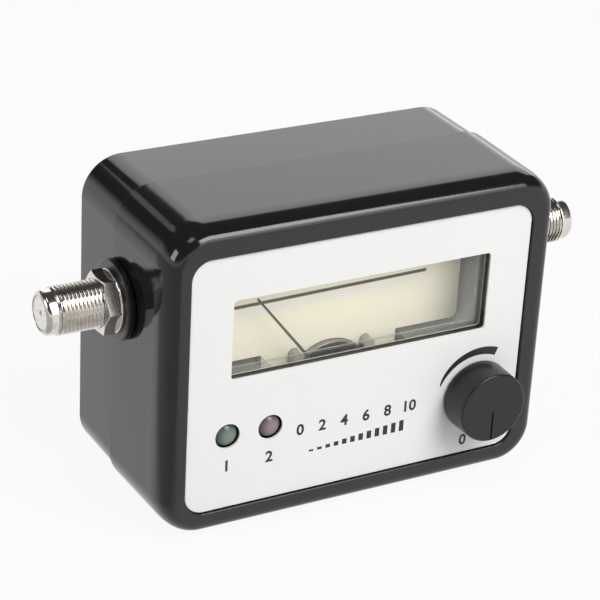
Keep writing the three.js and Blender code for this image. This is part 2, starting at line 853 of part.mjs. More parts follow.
function filterCapacitor() {
  const front = boardBack + slipGap;
  const { radius, height, crimp, crimpHeight } = capacitor;
  return turned(
    [
      [0, front],
      [radius, front],
      [radius, front + crimpHeight],
      [radius - crimp, front + crimpHeight + crimp],
      [radius, front + crimpHeight + 2 * crimp],
      [radius, front + height - crimp],
      [radius - crimp, front + height],
      [0, front + height],
    ],
    0,
    0,
    smallSteps,
  );
}

function amplifierChip() {
  const x = chip.width / 2;
  const z = chip.height / 2;
  const front = boardBack + slipGap;
  return box(-x, x, front, front + chip.thickness, -z, z);
}

// Port pieces, drawn with the depth axis going outwards from the wall

function portBarrel() {
  const size = port;
  const nose = size.reach - size.noseLength;
  const relief = size.threadRadius - size.noseRadius;
  const inner = -housing.wall;
  const flangeBack = inner - size.flangeThick;
  const profile = [
    [0, portInner],
    [size.shoulderRadius, portInner],
    [size.shoulderRadius, flangeBack],
    [size.flangeRadius, flangeBack],
    [size.flangeRadius, inner],
    [size.threadRadius, inner],
    [size.threadRadius, nose - relief],
    [size.noseRadius, nose],
  ];
  for (let i = 0; i <= size.noseSteps; i++) {
    const angle = (quarter * i) / size.noseSteps;
    profile.push([
      size.noseRadius - size.noseEdge * (1 - Math.cos(angle)),
      size.reach - size.noseEdge * (1 - Math.sin(angle)),
    ]);
  }
  profile.push([0, size.reach]);
  const barrel = turned(profile);
  return cut(barrel, pin(size.bore, portInner - overrun, size.reach + overrun));
}

function portWasher() {
  const { outer, thickness, edge } = washer;
  const disc = turned([
    [0, 0],
    [outer, 0],
    [outer, thickness - edge],
    [outer - edge, thickness],
    [0, thickness],
  ]);
  return cut(disc, pin(port.threadRadius + slipGap, -overrun, thickness + overrun));
}

function portNut() {
  const start = washer.thickness;
  const collarTop = start + nut.collarThick;
  const top = collarTop + nut.thickness;
  const across = nut.flats / 2 / Math.cos(Math.PI / 6);
  const hexagon = new THREE.Shape();
  for (let i = 0; i < 6; i++) {
    const angle = (i * Math.PI) / 3;
    const point = [across * Math.sin(angle), across * Math.cos(angle)];
    if (i === 0) hexagon.moveTo(...point);
    else hexagon.lineTo(...point);
  }
  const chamfered = turned([
    [0, start],
    [across, start],
    [across, top - nut.chamfer],
    [nut.flats / 2 - nut.chamfer / 2, top],
    [0, top],
  ]);
  const collar = pin(nut.collarRadius, start, collarTop);
  const body = join(plate(hexagon, start, top).intersect(chamfered), collar);
  return cut(body, pin(port.threadRadius + slipGap, 0, top + overrun));
}

function portInsulator() {
  return cut(
    pin(port.bore - slipGap, portInner, port.reach - insulator.sunk),
    pin(insulator.hole, portInner - overrun, port.reach + overrun, 0, 0, smallSteps),
  );
}

function portContact() {
  return pin(contact.radius, portInner - contact.tail, port.reach - contact.sunk, 0, 0, smallSteps);
}

// Assembly

function addHousing(whole) {
  whole.add(piece("front_shell", frontShell(), "blackPlastic"));
  whole.add(piece("rear_shell", rearShell(), "blackPlastic"));
  whole.add(piece("front_label", frontLabel(), "label"));
  const screwSeat = backDepth - boss.screwSeat;
  ["upper_left", "upper_right", "lower_left", "lower_right"].forEach((corner, i) => {
    const x = i % 2 ? 1 : -1;
    const z = i < 2 ? 1 : -1;
    const inHousing = screw(housingScrew, screwSeat, x * boss.x, z * boss.z);
    const inBoard = screw(boardScrew, boardBack, x * board.postX, z * board.postZ);
    whole.add(piece("housing_screw_" + corner, inHousing, "steel"));
    whole.add(piece("board_screw_" + corner, inBoard, "steel"));
  });
}

function addBoard(whole) {
  whole.add(piece("circuit_board", circuitBoard(), "board"));
  whole.add(piece("shield_can", shieldCan(), "tin"));
  for (const [name, x] of [["filter_capacitor_a", capacitor.x], ["filter_capacitor_b", 2 * capacitor.x]]) {
    const standing = place(x, 0, capacitor.z);
    standing.add(piece(name, filterCapacitor(), "darkPlastic"));
    whole.add(standing);
  }
  const chipPlace = place(chip.x, 0, chip.z);
  chipPlace.add(piece("amplifier_chip", amplifierChip(), "darkPlastic"));
  whole.add(chipPlace);
}

function addControls(face) {
  const knobPlace = place(knob.x, 0, knob.z);
  knobPlace.add(piece("knob", knobBody(), "blackPlastic"));
  knobPlace.add(piece("knob_shaft", knobShaft(), "steel"));
  knobPlace.add(piece("potentiometer", potentiometerBody(), "darkPlastic"));
  face.add(knobPlace);
  const lamps = [["lamp_green", lamp.greenX, "greenLamp"], ["lamp_red", lamp.redX, "redLamp"]];
  for (const [name, x, finish] of lamps) {
    const lampPlace = place(x, 0, lamp.z);
    lampPlace.add(piece(name, lampBody(), finish));
    face.add(lampPlace);
  }
}

function addMeter(face) {
  const meterPlace = place(meterX, 0, 0);
  meterPlace.add(piece("meter_case", meterCase(), "clear"));
  meterPlace.add(piece("meter_base", meterBase(), "darkPlastic"));
  meterPlace.add(piece("dial_plate", dialPlate(), "dial"));
  for (const [name, x] of [["meter_terminal_left", -terminal.x], ["meter_terminal_right", terminal.x]]) {
    const terminalPlace = place(x, 0, terminalZ);
    terminalPlace.add(piece(name, meterTerminal(), "nickel"));
    meterPlace.add(terminalPlace);
  }
  const movement = place(0, 0, pivotZ);
  movement.add(piece("yoke_ring", yokeRing(), "steel"));
  movement.add(piece("core_magnet", coreMagnet(), "magnet"));
  movement.add(piece("movement_carrier", movementCarrier(), "frosted"));
  movement.add(piece("front_bridge", frontBridge(), "steel"));
  movement.add(piece("pivot_screw", pivotScrew(), "nickel"));
  movement.add(piece("bridge_screw_left", bridgeScrewAt(-bridge.reach), "steel"));
  movement.add(piece("bridge_screw_right", bridgeScrewAt(bridge.reach), "steel"));
  const swing = new THREE.Group();
  swing.rotation.y = restAngle;
  swing.add(piece("moving_coil", movingCoil(), "copper"));
  swing.add(piece("spindle", spindlePin(), "steel"));
  swing.add(piece("needle", needlePointer(), "needle"));
  swing.add(piece("hairspring", hairspringBand(), "copper"));
  movement.add(swing);
  meterPlace.add(movement);
  face.add(meterPlace);
}

function addPort(whole, side, prefix) {
  const portPlace = place(side * housing.halfWidth, portDepth, port.z);
  portPlace.rotation.z = -side * quarter;
  portPlace.add(piece(prefix + "_port_barrel", portBarrel(), "nickel"));
  portPlace.add(piece(prefix + "_port_washer", portWasher(), "darkPlastic"));
  portPlace.add(piece(prefix + "_port_nut", portNut(), "nickel"));
  portPlace.add(piece(prefix + "_port_insulator", portInsulator(), "white"));
  portPlace.add(piece(prefix + "_port_contact", portContact(), "nickel"));
  whole.add(portPlace);
}

function signalMeter() {
  const part = new THREE.Group();
  const whole = place(0, -(backDepth - knob.proud) / 2, housing.halfHeight);
  const face = place(label.x, 0, label.z);
  addHousing(whole);
  addBoard(whole);
  addControls(face);
  addMeter(face);
  addPort(whole, -1, "left");
  addPort(whole, 1, "right");
  whole.add(face);
  part.add(whole);
  return part;
}

export default signalMeter();
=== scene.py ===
import json
import math

import bmesh
import bpy
from mathutils import Matrix, Vector


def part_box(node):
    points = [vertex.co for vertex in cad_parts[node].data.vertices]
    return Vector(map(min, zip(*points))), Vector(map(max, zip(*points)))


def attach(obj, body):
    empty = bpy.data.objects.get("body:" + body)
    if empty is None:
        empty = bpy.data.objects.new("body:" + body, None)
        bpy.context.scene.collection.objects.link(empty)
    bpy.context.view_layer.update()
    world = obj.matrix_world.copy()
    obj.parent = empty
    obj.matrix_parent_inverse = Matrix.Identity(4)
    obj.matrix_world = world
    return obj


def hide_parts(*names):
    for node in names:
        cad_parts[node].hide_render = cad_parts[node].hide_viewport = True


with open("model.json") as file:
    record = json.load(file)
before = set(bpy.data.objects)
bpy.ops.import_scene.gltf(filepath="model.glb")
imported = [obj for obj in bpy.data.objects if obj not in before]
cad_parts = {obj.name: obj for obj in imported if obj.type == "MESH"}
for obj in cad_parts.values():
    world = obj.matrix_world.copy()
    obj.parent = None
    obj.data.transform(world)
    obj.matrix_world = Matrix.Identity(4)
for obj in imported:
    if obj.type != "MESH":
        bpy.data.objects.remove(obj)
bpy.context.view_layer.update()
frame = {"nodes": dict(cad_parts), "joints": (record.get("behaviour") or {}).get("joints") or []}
print("frame loaded with", len(frame["nodes"]), "nodes")

# Sizes are in millimetres, and meshes are made in metres through mm.
mm = 0.001
quarter = math.pi / 2
steps = {"corner": 24, "edge": 26, "fillet": 6, "round": 96, "small": 40, "window": 8, "case": 6, "cap": 10,
         "nose": 8}
add, cut = "UNION", "DIFFERENCE"
overrun = 1  # how far a cutter passes the face that it cuts
core = 0.1  # the radius at which the profile of a turned piece without a bore starts


# Places, read from the frame

def boxOf(node):
    low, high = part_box(node)
    return low / mm, high / mm


def middleOf(node):
    low, high = boxOf(node)
    return (low + high) / 2


shellLow, shellHigh = boxOf("front_shell")
labelLow, labelHigh = boxOf("front_label")
front = shellLow.y  # the face of the bezel; depths are measured back from it
housing = {
    "halfWidth": shellHigh.x,
    "halfHeight": (shellHigh.z - shellLow.z) / 2,
    "seam": shellHigh.y - front,
    "back": boxOf("rear_shell")[1].y - front,
    "corner": 8.8,
    "wall": 2.2,
    "frontWall": 2.6,
    "rearStep": shellHigh.x - boxOf("rear_shell")[1].x,
}
housingPlace = Matrix.Translation((0, front, middleOf("front_shell").z))
labelMiddle, labelHalf = (labelLow + labelHigh) / 2, (labelHigh - labelLow) / 2
facePlace = Matrix.Translation((labelMiddle.x, front, labelMiddle.z))
meterPlace = Matrix.Translation((middleOf("meter_case").x, front, labelMiddle.z))


def turnPlace(name):  # on the axis of a joint
    joint = next(row for row in frame["joints"] if row["name"] == name)
    pivot = Vector(joint["pos_m"]) / mm
    return Matrix.Translation((pivot.x, front, pivot.z))


def portPlace(side, barrel):
    middle = middleOf(barrel)
    wall = Matrix.Translation((side * housing["halfWidth"], middle.y, middle.z))
    return wall @ Matrix.Rotation(-side * quarter, 4, "Z")


# Solids

def linked(name, data):
    made = bpy.data.objects.new(name, data)
    bpy.context.scene.collection.objects.link(made)
    return made


def solidFrom(name, points, faces, place):
    mesh = bpy.data.meshes.new(name)
    mesh.from_pydata([(place @ Vector(point)) * mm for point in points], [], faces)
    form = bmesh.new()
    form.from_mesh(mesh)
    bmesh.ops.recalc_face_normals(form, faces=form.faces)
    form.to_mesh(mesh)
    form.free()
    return linked(name, mesh)


def stacked(name, rings, place, loop=False):  # a closed skin over rings of equal length
    count = len(rings[0])
    points = [point for ring in rings for point in ring]
    faces = []
    for i in range(len(rings) if loop else len(rings) - 1):
        here = i * count
        there = (i + 1) % len(rings) * count
        for k in range(count):
            following = (k + 1) % count
            faces.append((here + k, here + following, there + following, there + k))
    if not loop:
        faces.append(tuple(range(count)))
        faces.append(tuple(range((len(rings) - 1) * count, len(rings) * count)))
    return solidFrom(name, points, faces, place)


def bend(count, power=1):  # pairs from (0, 1) to (1, 0) along a quarter of a circle or of a squarer curve
    angles = [quarter * i / count for i in range(count + 1)]
    return [(1 - abs(math.cos(angle)) ** power, 1 - math.sin(angle) ** power) for angle in angles]


def circle(radius, depth, sides, x=0, z=0):
    angles = [2 * math.pi * k / sides for k in range(sides)]
    return [(x + radius * math.cos(angle), depth, z + radius * math.sin(angle)) for angle in angles]


def turned(name, profile, place, sides=steps["round"], loop=False, x=0, z=0):
    return stacked(name, [circle(radius, depth, sides, x, z) for radius, depth in profile], place, loop)


def cylinder(name, radius, near, far, place, sides=steps["round"], x=0, z=0):
    return turned(name, [(radius, near), (radius, far)], place, sides, x=x, z=z)


def roundedRing(left, right, bottom, top, corner, depth, sides=steps["corner"]):
    middles = [
        (right - corner, top - corner),
        (left + corner, top - corner),
        (left + corner, bottom + corner),
        (right - corner, bottom + corner),
    ]
    ring = []
    for turns, (x, z) in enumerate(middles):
        for i in range(sides + 1):
            angle = (turns + i / sides) * quarter
            ring.append((x + corner * math.cos(angle), depth, z + corner * math.sin(angle)))
    return ring


def insetRing(halfWidth, halfHeight, corner, inset, depth):
    x, z = halfWidth - inset, halfHeight - inset
    return roundedRing(-x, x, -z, z, corner - inset, depth)


def housingRing(inset, depth):
    return insetRing(housing["halfWidth"], housing["halfHeight"], housing["corner"], inset, depth)


def slab(name, outline, near, far, place):  # from an outline of (x, z)
    return stacked(name, [[(x, depth, z) for x, z in outline] for depth in (near, far)], place)


def rectangle(left, right, bottom, top):
    return [(left, bottom), (right, bottom), (right, top), (left, top)]


def boxSolid(name, left, right, near, far, bottom, top, place):
    return slab(name, rectangle(left, right, bottom, top), near, far, place)


def softened(corners, loop=False, sides=steps["fillet"]):  # a corner is (radius, depth, fillet)
    path = []
    count = len(corners)
    for i, (radius, depth, fillet) in enumerate(corners):
        here = Vector((radius, depth))
        if not fillet or (not loop and i in (0, count - 1)):
            path.append(here)
            continue
        before = (Vector(corners[i - 1][:2]) - here).normalized()
        after = (Vector(corners[(i + 1) % count][:2]) - here).normalized()
        half = before.angle(after) / 2
        middle = here + (before + after).normalized() * fillet / math.sin(half)
        start = here + before * fillet / math.tan(half) - middle
        end = here + after * fillet / math.tan(half) - middle
        sweep = end.angle_signed(start)
        for k in range(sides + 1):
            path.append(middle + Matrix.Rotation(sweep * k / sides, 2) @ start)
    return [(point.x, point.y) for point in path]


def joined(name, solids):
    form = bmesh.new()
    for solid in solids:
        form.from_mesh(solid.data)
        bpy.data.objects.remove(solid)
    mesh = bpy.data.meshes.new(name)
    form.to_mesh(mesh)
    form.free()
    return linked(name, mesh)


def shaped(base, *changes):  # each change is an operation and the solid that makes it
    for operation, tool in changes:
        change = base.modifiers.new("change", "BOOLEAN")
        change.operation = operation
        change.object = tool
        change.solver = "EXACT"
    bpy.context.view_layer.update()
    graph = bpy.context.evaluated_depsgraph_get()
    result = bpy.data.meshes.new_from_object(base.evaluated_get(graph))
    base.modifiers.clear()
    base.data = result
    for _, tool in changes:
        bpy.data.objects.remove(tool)
    return base


def dressed(piece, finish, slot, body="housing", replaces=(), sharp=35):
    piece.data.materials.clear()
    for material in finish if isinstance(finish, list) else [finish]:
        piece.data.materials.append(material)
    piece.data.shade_smooth()
    piece.data.set_sharp_from_angle(angle=math.radians(sharp))
    shade = piece.modifiers.new("evenShade", "WEIGHTED_NORMAL")
    shade.keep_sharp = True
    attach(piece, body)
    if replaces:
        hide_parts(*replaces)


# Materials

class Link:  # a node's output, which takes part in sums
    def __init__(self, finish, socket):
        self.finish, self.socket = finish, socket

    def maths(self, operation, first, second):
        return self.finish.node("ShaderNodeMath", {"operation": operation}, {0: first, 1: second})

    def __add__(self, other):
        return self.maths("ADD", self, other)

    def __radd__(self, other):
        return self.maths("ADD", other, self)

    def __sub__(self, other):
        return self.maths("SUBTRACT", self, other)

    def __rsub__(self, other):
        return self.maths("SUBTRACT", other, self)

    def __mul__(self, other):
        return self.maths("MULTIPLY", self, other)

    def __rmul__(self, other):
        return self.maths("MULTIPLY", other, self)

    def __truediv__(self, other):
        return self.maths("DIVIDE", self, other)

    def __pow__(self, other):
        return self.maths("POWER", self, other)

    def between(self, low, high):  # 0 at low, 1 at high, and limited to that
        sockets = {"Value": self, "From Min": low, "From Max": high}
        return self.finish.node("ShaderNodeMapRange", {"clamp": True}, sockets)


class Finish:  # one material, or the world, and the nodes that make it
    def __init__(self, name, store=bpy.data.materials):
        self.material = store.new(name)
        self.material.use_nodes = True
        self.tree = self.material.node_tree
        self.tree.nodes.clear()

    def node(self, kind, settings=None, sockets=None, output=0):
        made = self.tree.nodes.new(kind)
        for name, value in (settings or {}).items():
            setattr(made, name, value)
        for name, value in (sockets or {}).items():
            if isinstance(value, Link):
                self.tree.links.new(value.socket, made.inputs[name])
            else:
                made.inputs[name].default_value = value
        return Link(self, made.outputs[output]) if made.outputs else made

    def outputs(self, kind, *names):
        made = self.node(kind).socket.node
        return [Link(self, made.outputs[name]) for name in names]

    def place(self, stretch=(1, 1, 1)):  # the surface's own place in metres, stretched along the axes
        spot = self.outputs("ShaderNodeTexCoord", "Object")[0]
        if stretch == (1, 1, 1):
            return spot
        return self.node("ShaderNodeVectorMath", {"operation": "MULTIPLY"}, {0: spot, 1: stretch})

    def axes(self):
        split = self.node("ShaderNodeSeparateXYZ", None, {0: self.place()})
        return [Link(self, output) for output in split.socket.node.outputs]

    def noise(self, size, detail, stretch=(1, 1, 1)):  # size is of its spots, in mm
        sockets = {"Vector": self.place(stretch), "Scale": 1 / (size * mm), "Detail": detail}
        return self.node("ShaderNodeTexNoise", None, sockets)

    def shades(self, factor, first, second):
        return self.mix(factor, tone(first), tone(second))

    def mix(self, factor, first, second):  # 6, 7 and 2 are the node's sockets for colours
        return self.node("ShaderNodeMix", {"data_type": "RGBA"}, {0: factor, 6: first, 7: second}, output=2)

    def blend(self, factor, first, second):  # of two shaders
        return self.node("ShaderNodeMixShader", None, {0: factor, 1: first, 2: second})

    def rays(self, *kinds):
        return self.outputs("ShaderNodeLightPath", *("Is " + kind + " Ray" for kind in kinds))

    def bump(self, height, depth):  # depth is of the relief, in mm
        return self.node("ShaderNodeBump", None, {"Height": height, "Distance": depth * mm, "Strength": 1.0})

    def shader(self, **sockets):
        named = {name.replace("_", " "): value for name, value in sockets.items()}
        return self.node("ShaderNodeBsdfPrincipled", None, named)

    def show(self, shader):
        self.node("ShaderNodeOutputMaterial", None, {"Surface": shader})
        return self.material

    def surface(self, **sockets):
        return self.show(self.shader(**sockets))


def tone(code, level=1.0):  # a colour in sRGB, as the photograph shows it, made linear
    parts = [int(code[i:i + 2], 16) / 255 for i in (0, 2, 4)]
    linear = [part / 12.92 if part <= 0.04045 else ((part + 0.055) / 1.055) ** 2.4 for part in parts]
    return (*[part * level for part in linear], 1)


def mouldedPlastic(name, shade, light, rough, grain=0.6, relief=0.004, index=1.54):
    # moulded plastic: faint cloudiness, an uneven polish, fine hairlines and a very slight ripple
    finish = Finish(name)
    cloud = finish.noise(size=9, detail=3)
    hairlines = finish.noise(size=0.35, detail=2, stretch=(1, 0.04, 1)).between(0.62, 0.72)
    ripple = finish.noise(size=grain, detail=3)
    uneven, scratched = 0.05, 0.06
    return finish.surface(
        Base_Color=finish.shades(cloud, shade, light),
        Roughness=rough + uneven * cloud + scratched * hairlines,
        IOR=index,
        Normal=finish.bump(ripple, relief),
    )


def platedMetal(name, shade, dull, rough, stretch=(1, 1, 1)):
    # plated or drawn metal: patches of duller plating and fine drawing marks
    finish = Finish(name)
    patches = finish.noise(size=2.2, detail=4)
    marks = finish.noise(size=0.25, detail=4, stretch=stretch)
    return finish.surface(
        Base_Color=finish.shades(patches.between(0.35, 0.75), shade, dull),
        Roughness=rough + 0.12 * marks,
        Metallic=1.0,
        Normal=finish.bump(marks, 0.003),
    )


def paintedSheet(name, shade, light, rough, wash, fleck, relief):
    # a painted sheet: a wash of a second shade and fine flecks, each given by its size and detail
    finish = Finish(name)
    flecks = finish.noise(*fleck)
    return finish.surface(
        Base_Color=finish.shades(finish.noise(*wash), shade, light),
        Roughness=rough + 0.1 * flecks,
        Normal=finish.bump(flecks, relief),
    )


def inkPrint(name, shade):
    finish = Finish(name)
    cover = finish.noise(size=0.3, detail=3)
    return finish.surface(
        Base_Color=finish.mix(cover, tone(shade), tone(shade, 1.5)),
        Roughness=0.4 + 0.15 * cover,
    )


def clearPlastic(name, shade, haze):
    # clear moulded plastic: it shows what is behind, mirrors by its angle and has a little haze
    finish = Finish(name)
    flow = finish.noise(size=3.5, detail=3, stretch=(1, 1, 0.25))
    index, mirrorShare = 1.49, 0.3
    mirror = finish.node("ShaderNodeFresnel", None, {"IOR": index})
    body = finish.shader(Base_Color=tone(shade), Roughness=0.06 + 0.05 * flow, IOR=index)
    tint = (0.97, 0.975, 0.965, 1)
    through = finish.node("ShaderNodeBsdfTransparent", None, {"Color": tint})
    cover = (haze * (0.8 + 0.4 * flow) + mirror * mirrorShare).between(0, 1)
    return finish.show(finish.blend(cover, through, body))


def lampLens(name, heart, rim, middle, radius):
    # a tinted lamp: its colour deepens towards the rim of the lens, a painted shade for the dark edge of the
    # dome
    finish = Finish(name)
    x, _, z = finish.axes()
    across = ((x - middle.x * mm) ** 2 + (z - middle.z * mm) ** 2) ** 0.5 / (radius * mm)
    swirl = finish.noise(size=0.8, detail=3)
    return finish.surface(
        Base_Color=finish.shades((across + 0.12 * swirl).between(0.35, 1.05), heart, rim),
        Roughness=0.16 + 0.08 * swirl,
        IOR=1.5,
        Normal=finish.bump(swirl, 0.01),
    )


def boardMask():  # green lacquer over copper tracks
    finish = Finish("boardMask")
    tracks = finish.noise(size=4, detail=1, stretch=(1, 1, 0.2)).between(0.5, 0.53)
    fleck = finish.noise(size=0.4, detail=3)
    return finish.surface(
        Base_Color=finish.shades(tracks, "235a34", "34794a"),
        Roughness=0.35 + 0.15 * fleck,
        Normal=finish.bump(tracks, 0.02),
    )


def windingWire():  # copper wire wound in fine turns
    finish = Finish("windingWire")
    period = 2.2
    sockets = {0: finish.place(), "Scale": 1 / (period * mm)}
    turns = finish.node("ShaderNodeTexWave", {"bands_direction": "Y"}, sockets)
    fleck = finish.noise(size=0.3, detail=2)
    return finish.surface(
        Base_Color=finish.shades(turns, "4a2a1c", "6f432c"),
        Roughness=0.3 + 0.15 * fleck,
        Metallic=0.9,
        Normal=finish.bump(turns, 0.03),
    )


blackShell = mouldedPlastic("blackShell", "151416", "1b1a1c", 0.075)
blackKnob = mouldedPlastic("blackKnob", "161517", "1d1c1e", 0.27, grain=0.25, relief=0.006, index=1.45)
blackWasher = mouldedPlastic("blackWasher", "141314", "1d1c1c", 0.28, grain=0.3, relief=0.012)
darkPlastic = mouldedPlastic("darkPlastic", "252426", "302f31", 0.42, grain=0.3, relief=0.01)
frostedPlastic = mouldedPlastic("frostedPlastic", "93918c", "a19f99", 0.38, grain=0.4, relief=0.008)
whiteInsulator = mouldedPlastic("whiteInsulator", "fbfaf6", "f5f3ee", 0.4, grain=0.4, relief=0.008)
brightNickel = platedMetal("brightNickel", "e3dfd8", "cfcac1", 0.1)
drawnSteel = platedMetal("drawnSteel", "a5a4a0", "8b8a87", 0.26, stretch=(0.2, 1, 1))
blackenedIron = platedMetal("blackenedIron", "5b5a5c", "464547", 0.36)
magnetAlloy = platedMetal("magnetAlloy", "55565a", "45464a", 0.42)
tinPlate = platedMetal("tinPlate", "bcbcb6", "a5a5a0", 0.3)
# a pale plastic for the bright rings round the window, which are painted highlights
paintedEdgeHighlight = mouldedPlastic("paintedEdgeHighlight", "ccc9c0", "dad7ce", 0.35, grain=0.3, relief=0.004)
needlePaint = mouldedPlastic("needlePaint", "38332d", "423c35", 0.45, grain=0.2, relief=0.004)
blackInk = inkPrint("blackInk", "1b1b1c")
greyInk = inkPrint("greyInk", "57534e")
# a pale grey ink for the painted shadow that the pane's scale line casts on the dial
paintedShadowInk = inkPrint("paintedShadowInk", "cfcacb")
labelWhite = paintedSheet("labelSheet", "f1f1ef", "eeeeec", 0.42, wash=(18, 2), fleck=(0.22, 3), relief=0.003)
creamDial = paintedSheet("dialCard", "ece6d3", "e6dfca", 0.62, wash=(0.3, 3), fleck=(0.3, 3), relief=0.004)
clearPane = clearPlastic("clearPane", "e6e6e2", haze=0.03)
# the walls of the clear case: their dense grey haze is painted shade
clearWallPaintedShade = clearPlastic("clearWallPaintedShade", "aba8a2", haze=0.85)
# the bevelled edges of the pane: their bright haze is a painted highlight
clearEdgePaintedHighlight = clearPlastic("clearEdgePaintedHighlight", "f4f4f0", haze=0.75)
copperWinding = windingWire()
greenBoard = boardMask()
print("materials made")


# Housing

shellForm = {
    "edgeDepth": 8, "edgeInset": 4, "edgePower": 3, "draft": 0.3, "rearEdge": 1, "seamFillet": 0.22,
    "tongueInset": 2.35, "tongueWall": 1.25, "tongueReach": 3,
}
recess = {"gap": 0.2, "corner": 4.2, "depth": 0.9, "fillet": 0.22}
window = {"left": -28.15, "right": 28.15, "bottom": 0.95, "top": 17.5, "corner": 0.8, "margin": 0.15}
holes = {"lamp_green": 2.6, "lamp_red": 2.6, "knob": 4}  # each one's radius
posts = {
    "corner": 3, "rearCorner": 3.6, "board": 2.3, "boardFront": 18.4, "start": 1.9, "seatGap": 0.3,
    "cornerPilot": 1.15, "cornerPilotDepth": 13, "boardPilot": 0.95, "boardPilotDepth": 6, "counterbore": 2.7,
    "counterboreDepth": 9, "screwHole": 1.15,
}
portHole = {"radius": 4.95, "room": 7.1}


def faceSpot(node):  # a round piece's place on the face, from the label's middle
    middle = middleOf(node)
    return middle.x - labelMiddle.x, middle.z - labelMiddle.z


def pins(name, radius, near, far, screw="housing_screw"):  # four, on the axes of these screws
    middle = middleOf(screw + "_upper_right")
    x, z = middle.x, middle.z - housing["halfHeight"]
    return joined(name, [
        cylinder(name, radius, near, far, housingPlace, steps["small"], sideX * x, sideZ * z)
        for sideX in (-1, 1) for sideZ in (-1, 1)
    ])


def windowRing(margin, depth, sides=steps["case"]):  # the window's outline, grown by the margin
    left, right = window["left"] - margin, window["right"] + margin
    bottom, top = window["bottom"] - margin, window["top"] + margin
    return roundedRing(left, right, bottom, top, window["corner"], depth, sides)


def faceHoles(margin, near, far):
    rings = [windowRing(margin, depth, steps["window"]) for depth in (near, far)]
    cutters = [stacked("windowCutter", rings, facePlace)]
    for node, radius in holes.items():
        x, z = faceSpot(node)
        cutters.append(cylinder("holeCutter", radius, near, far, facePlace, x=x, z=z))
    return [(cut, cutter) for cutter in cutters]


def sideHoles(reach, radius):
    middle = middleOf("left_port_barrel")
    across = Matrix.Translation((0, middle.y, middle.z)) @ Matrix.Rotation(quarter, 4, "Z")
    return cut, cylinder("sideCutter", radius, -reach, reach, across)


def frontShell():
    fillet, draft, power = shellForm["seamFillet"], shellForm["draft"], 2 / shellForm["edgePower"]
    seam = housing["seam"]
    bulge, depth = shellForm["edgeInset"] - draft, shellForm["edgeDepth"]
    rings = [housingRing(fillet * fall, seam - fillet * rise) for rise, fall in bend(steps["fillet"])]
    edge = reversed(bend(steps["edge"], power))
    rings += [housingRing(draft + bulge * fall, depth * rise) for rise, fall in edge]
    shell = stacked("housing_front", rings, housingPlace)
    cavity = [housingRing(housing["wall"], depth) for depth in (housing["frontWall"], seam + overrun)]
    boardFront, start = posts["boardFront"], posts["start"]
    cornerPilotEnd, boardPilotEnd = seam - posts["cornerPilotDepth"], boardFront - posts["boardPilotDepth"]
    return shaped(
        shell,
        (cut, stacked("cavity", cavity, housingPlace)),
        (cut, recessCutter()),
        (add, pins("cornerPosts", posts["corner"], start, seam - posts["seatGap"])),
        (add, pins("boardPosts", posts["board"], start, boardFront, "board_screw")),
        (cut, pins("cornerPilots", posts["cornerPilot"], cornerPilotEnd, seam + overrun)),
        (cut, pins("boardPilots", posts["boardPilot"], boardPilotEnd, boardFront + overrun, "board_screw")),
        *faceHoles(window["margin"], -overrun, housing["frontWall"] + overrun),
        sideHoles(housing["halfWidth"] + overrun, portHole["radius"]),
    )


def recessCutter():  # its mouth flares by a small fillet
    halfWidth, halfHeight, fillet = labelHalf.x + recess["gap"], labelHalf.z + recess["gap"], recess["fillet"]
    mouth = [(fillet * rise, fillet * fall) for rise, fall in bend(steps["fillet"])]
    profile = [(0, recess["depth"]), *mouth, (fillet, -overrun)]
    rings = [insetRing(halfWidth, halfHeight, recess["corner"], -grow, depth) for grow, depth in profile]
    return stacked("recessCutter", rings, facePlace)


def rearShell():
    seam, back, step = housing["seam"], housing["back"], housing["rearStep"]
    wall, fillet, edge = housing["wall"], shellForm["seamFillet"], shellForm["rearEdge"]
    rings = [housingRing(step + fillet * fall, seam + fillet * rise) for rise, fall in bend(steps["fillet"])]
    rings += [housingRing(step + edge * rise, back - edge * fall) for rise, fall in bend(steps["edge"])]
    shell = stacked("housing_rear", rings, housingPlace)
    cavity = [housingRing(step + wall, depth) for depth in (seam - overrun, back - wall)]
    near, far = seam - shellForm["tongueReach"], seam + shellForm["tongueReach"]
    outer, inner = shellForm["tongueInset"], shellForm["tongueInset"] + shellForm["tongueWall"]
    tongue = [housingRing(inset, depth) for depth, inset in rectangle(near, far, outer, inner)]
    room = posts["corner"] + posts["seatGap"]
    seat = back - posts["counterboreDepth"]
    return shaped(
        shell,
        (cut, stacked("cavity", cavity, housingPlace)),
        (add, stacked("tongue", tongue, housingPlace, loop=True)),
        (cut, pins("bossRoom", room, near - overrun, seam)),
        (add, pins("rearPosts", posts["rearCorner"], seam, back - wall / 2)),
        (cut, pins("counterbores", posts["counterbore"], seat, back + overrun)),
        (cut, pins("screwHoles", posts["screwHole"], seam - overrun, back)),
        sideHoles(housing["halfWidth"] + overrun, portHole["radius"]),
        sideHoles(housing["halfWidth"] - wall, portHole["room"]),
    )


dressed(frontShell(), blackShell, "black_plastic", replaces=["front_shell"])
dressed(rearShell(), blackShell, "black_plastic", replaces=["rear_shell"])
print("housing made")


# Label and what is printed on it

sheet = {"face": labelLow.y - front, "back": labelHigh.y - front, "corner": 4, "edge": 0.06}
ink = {"thickness": 0.02, "sink": 0.01}
arcPrint = {"x": 27.5, "z": -14.2, "inner": 9.3, "outer": 11.1, "start": 156, "end": 66, "sides": 40,
            "bulge": 0.45, "point": 0.001}
digitPrint = {"height": 2.3, "heightShare": 0.7, "bold": 0.09, "curveSteps": 6, "lampDrop": 7.6,
              "scaleCount": 6, "scaleZ": -14.2, "scaleFrom": -12.6, "scaleStep": 4.9}
knobDigit = {"text": "0", "x": 25.4, "z": -24.9}
barPrint = {"left": -10.4, "right": 11.8, "bottom": -18.5, "low": 0.4, "high": 2.4, "bars": 12, "share": 0.55}


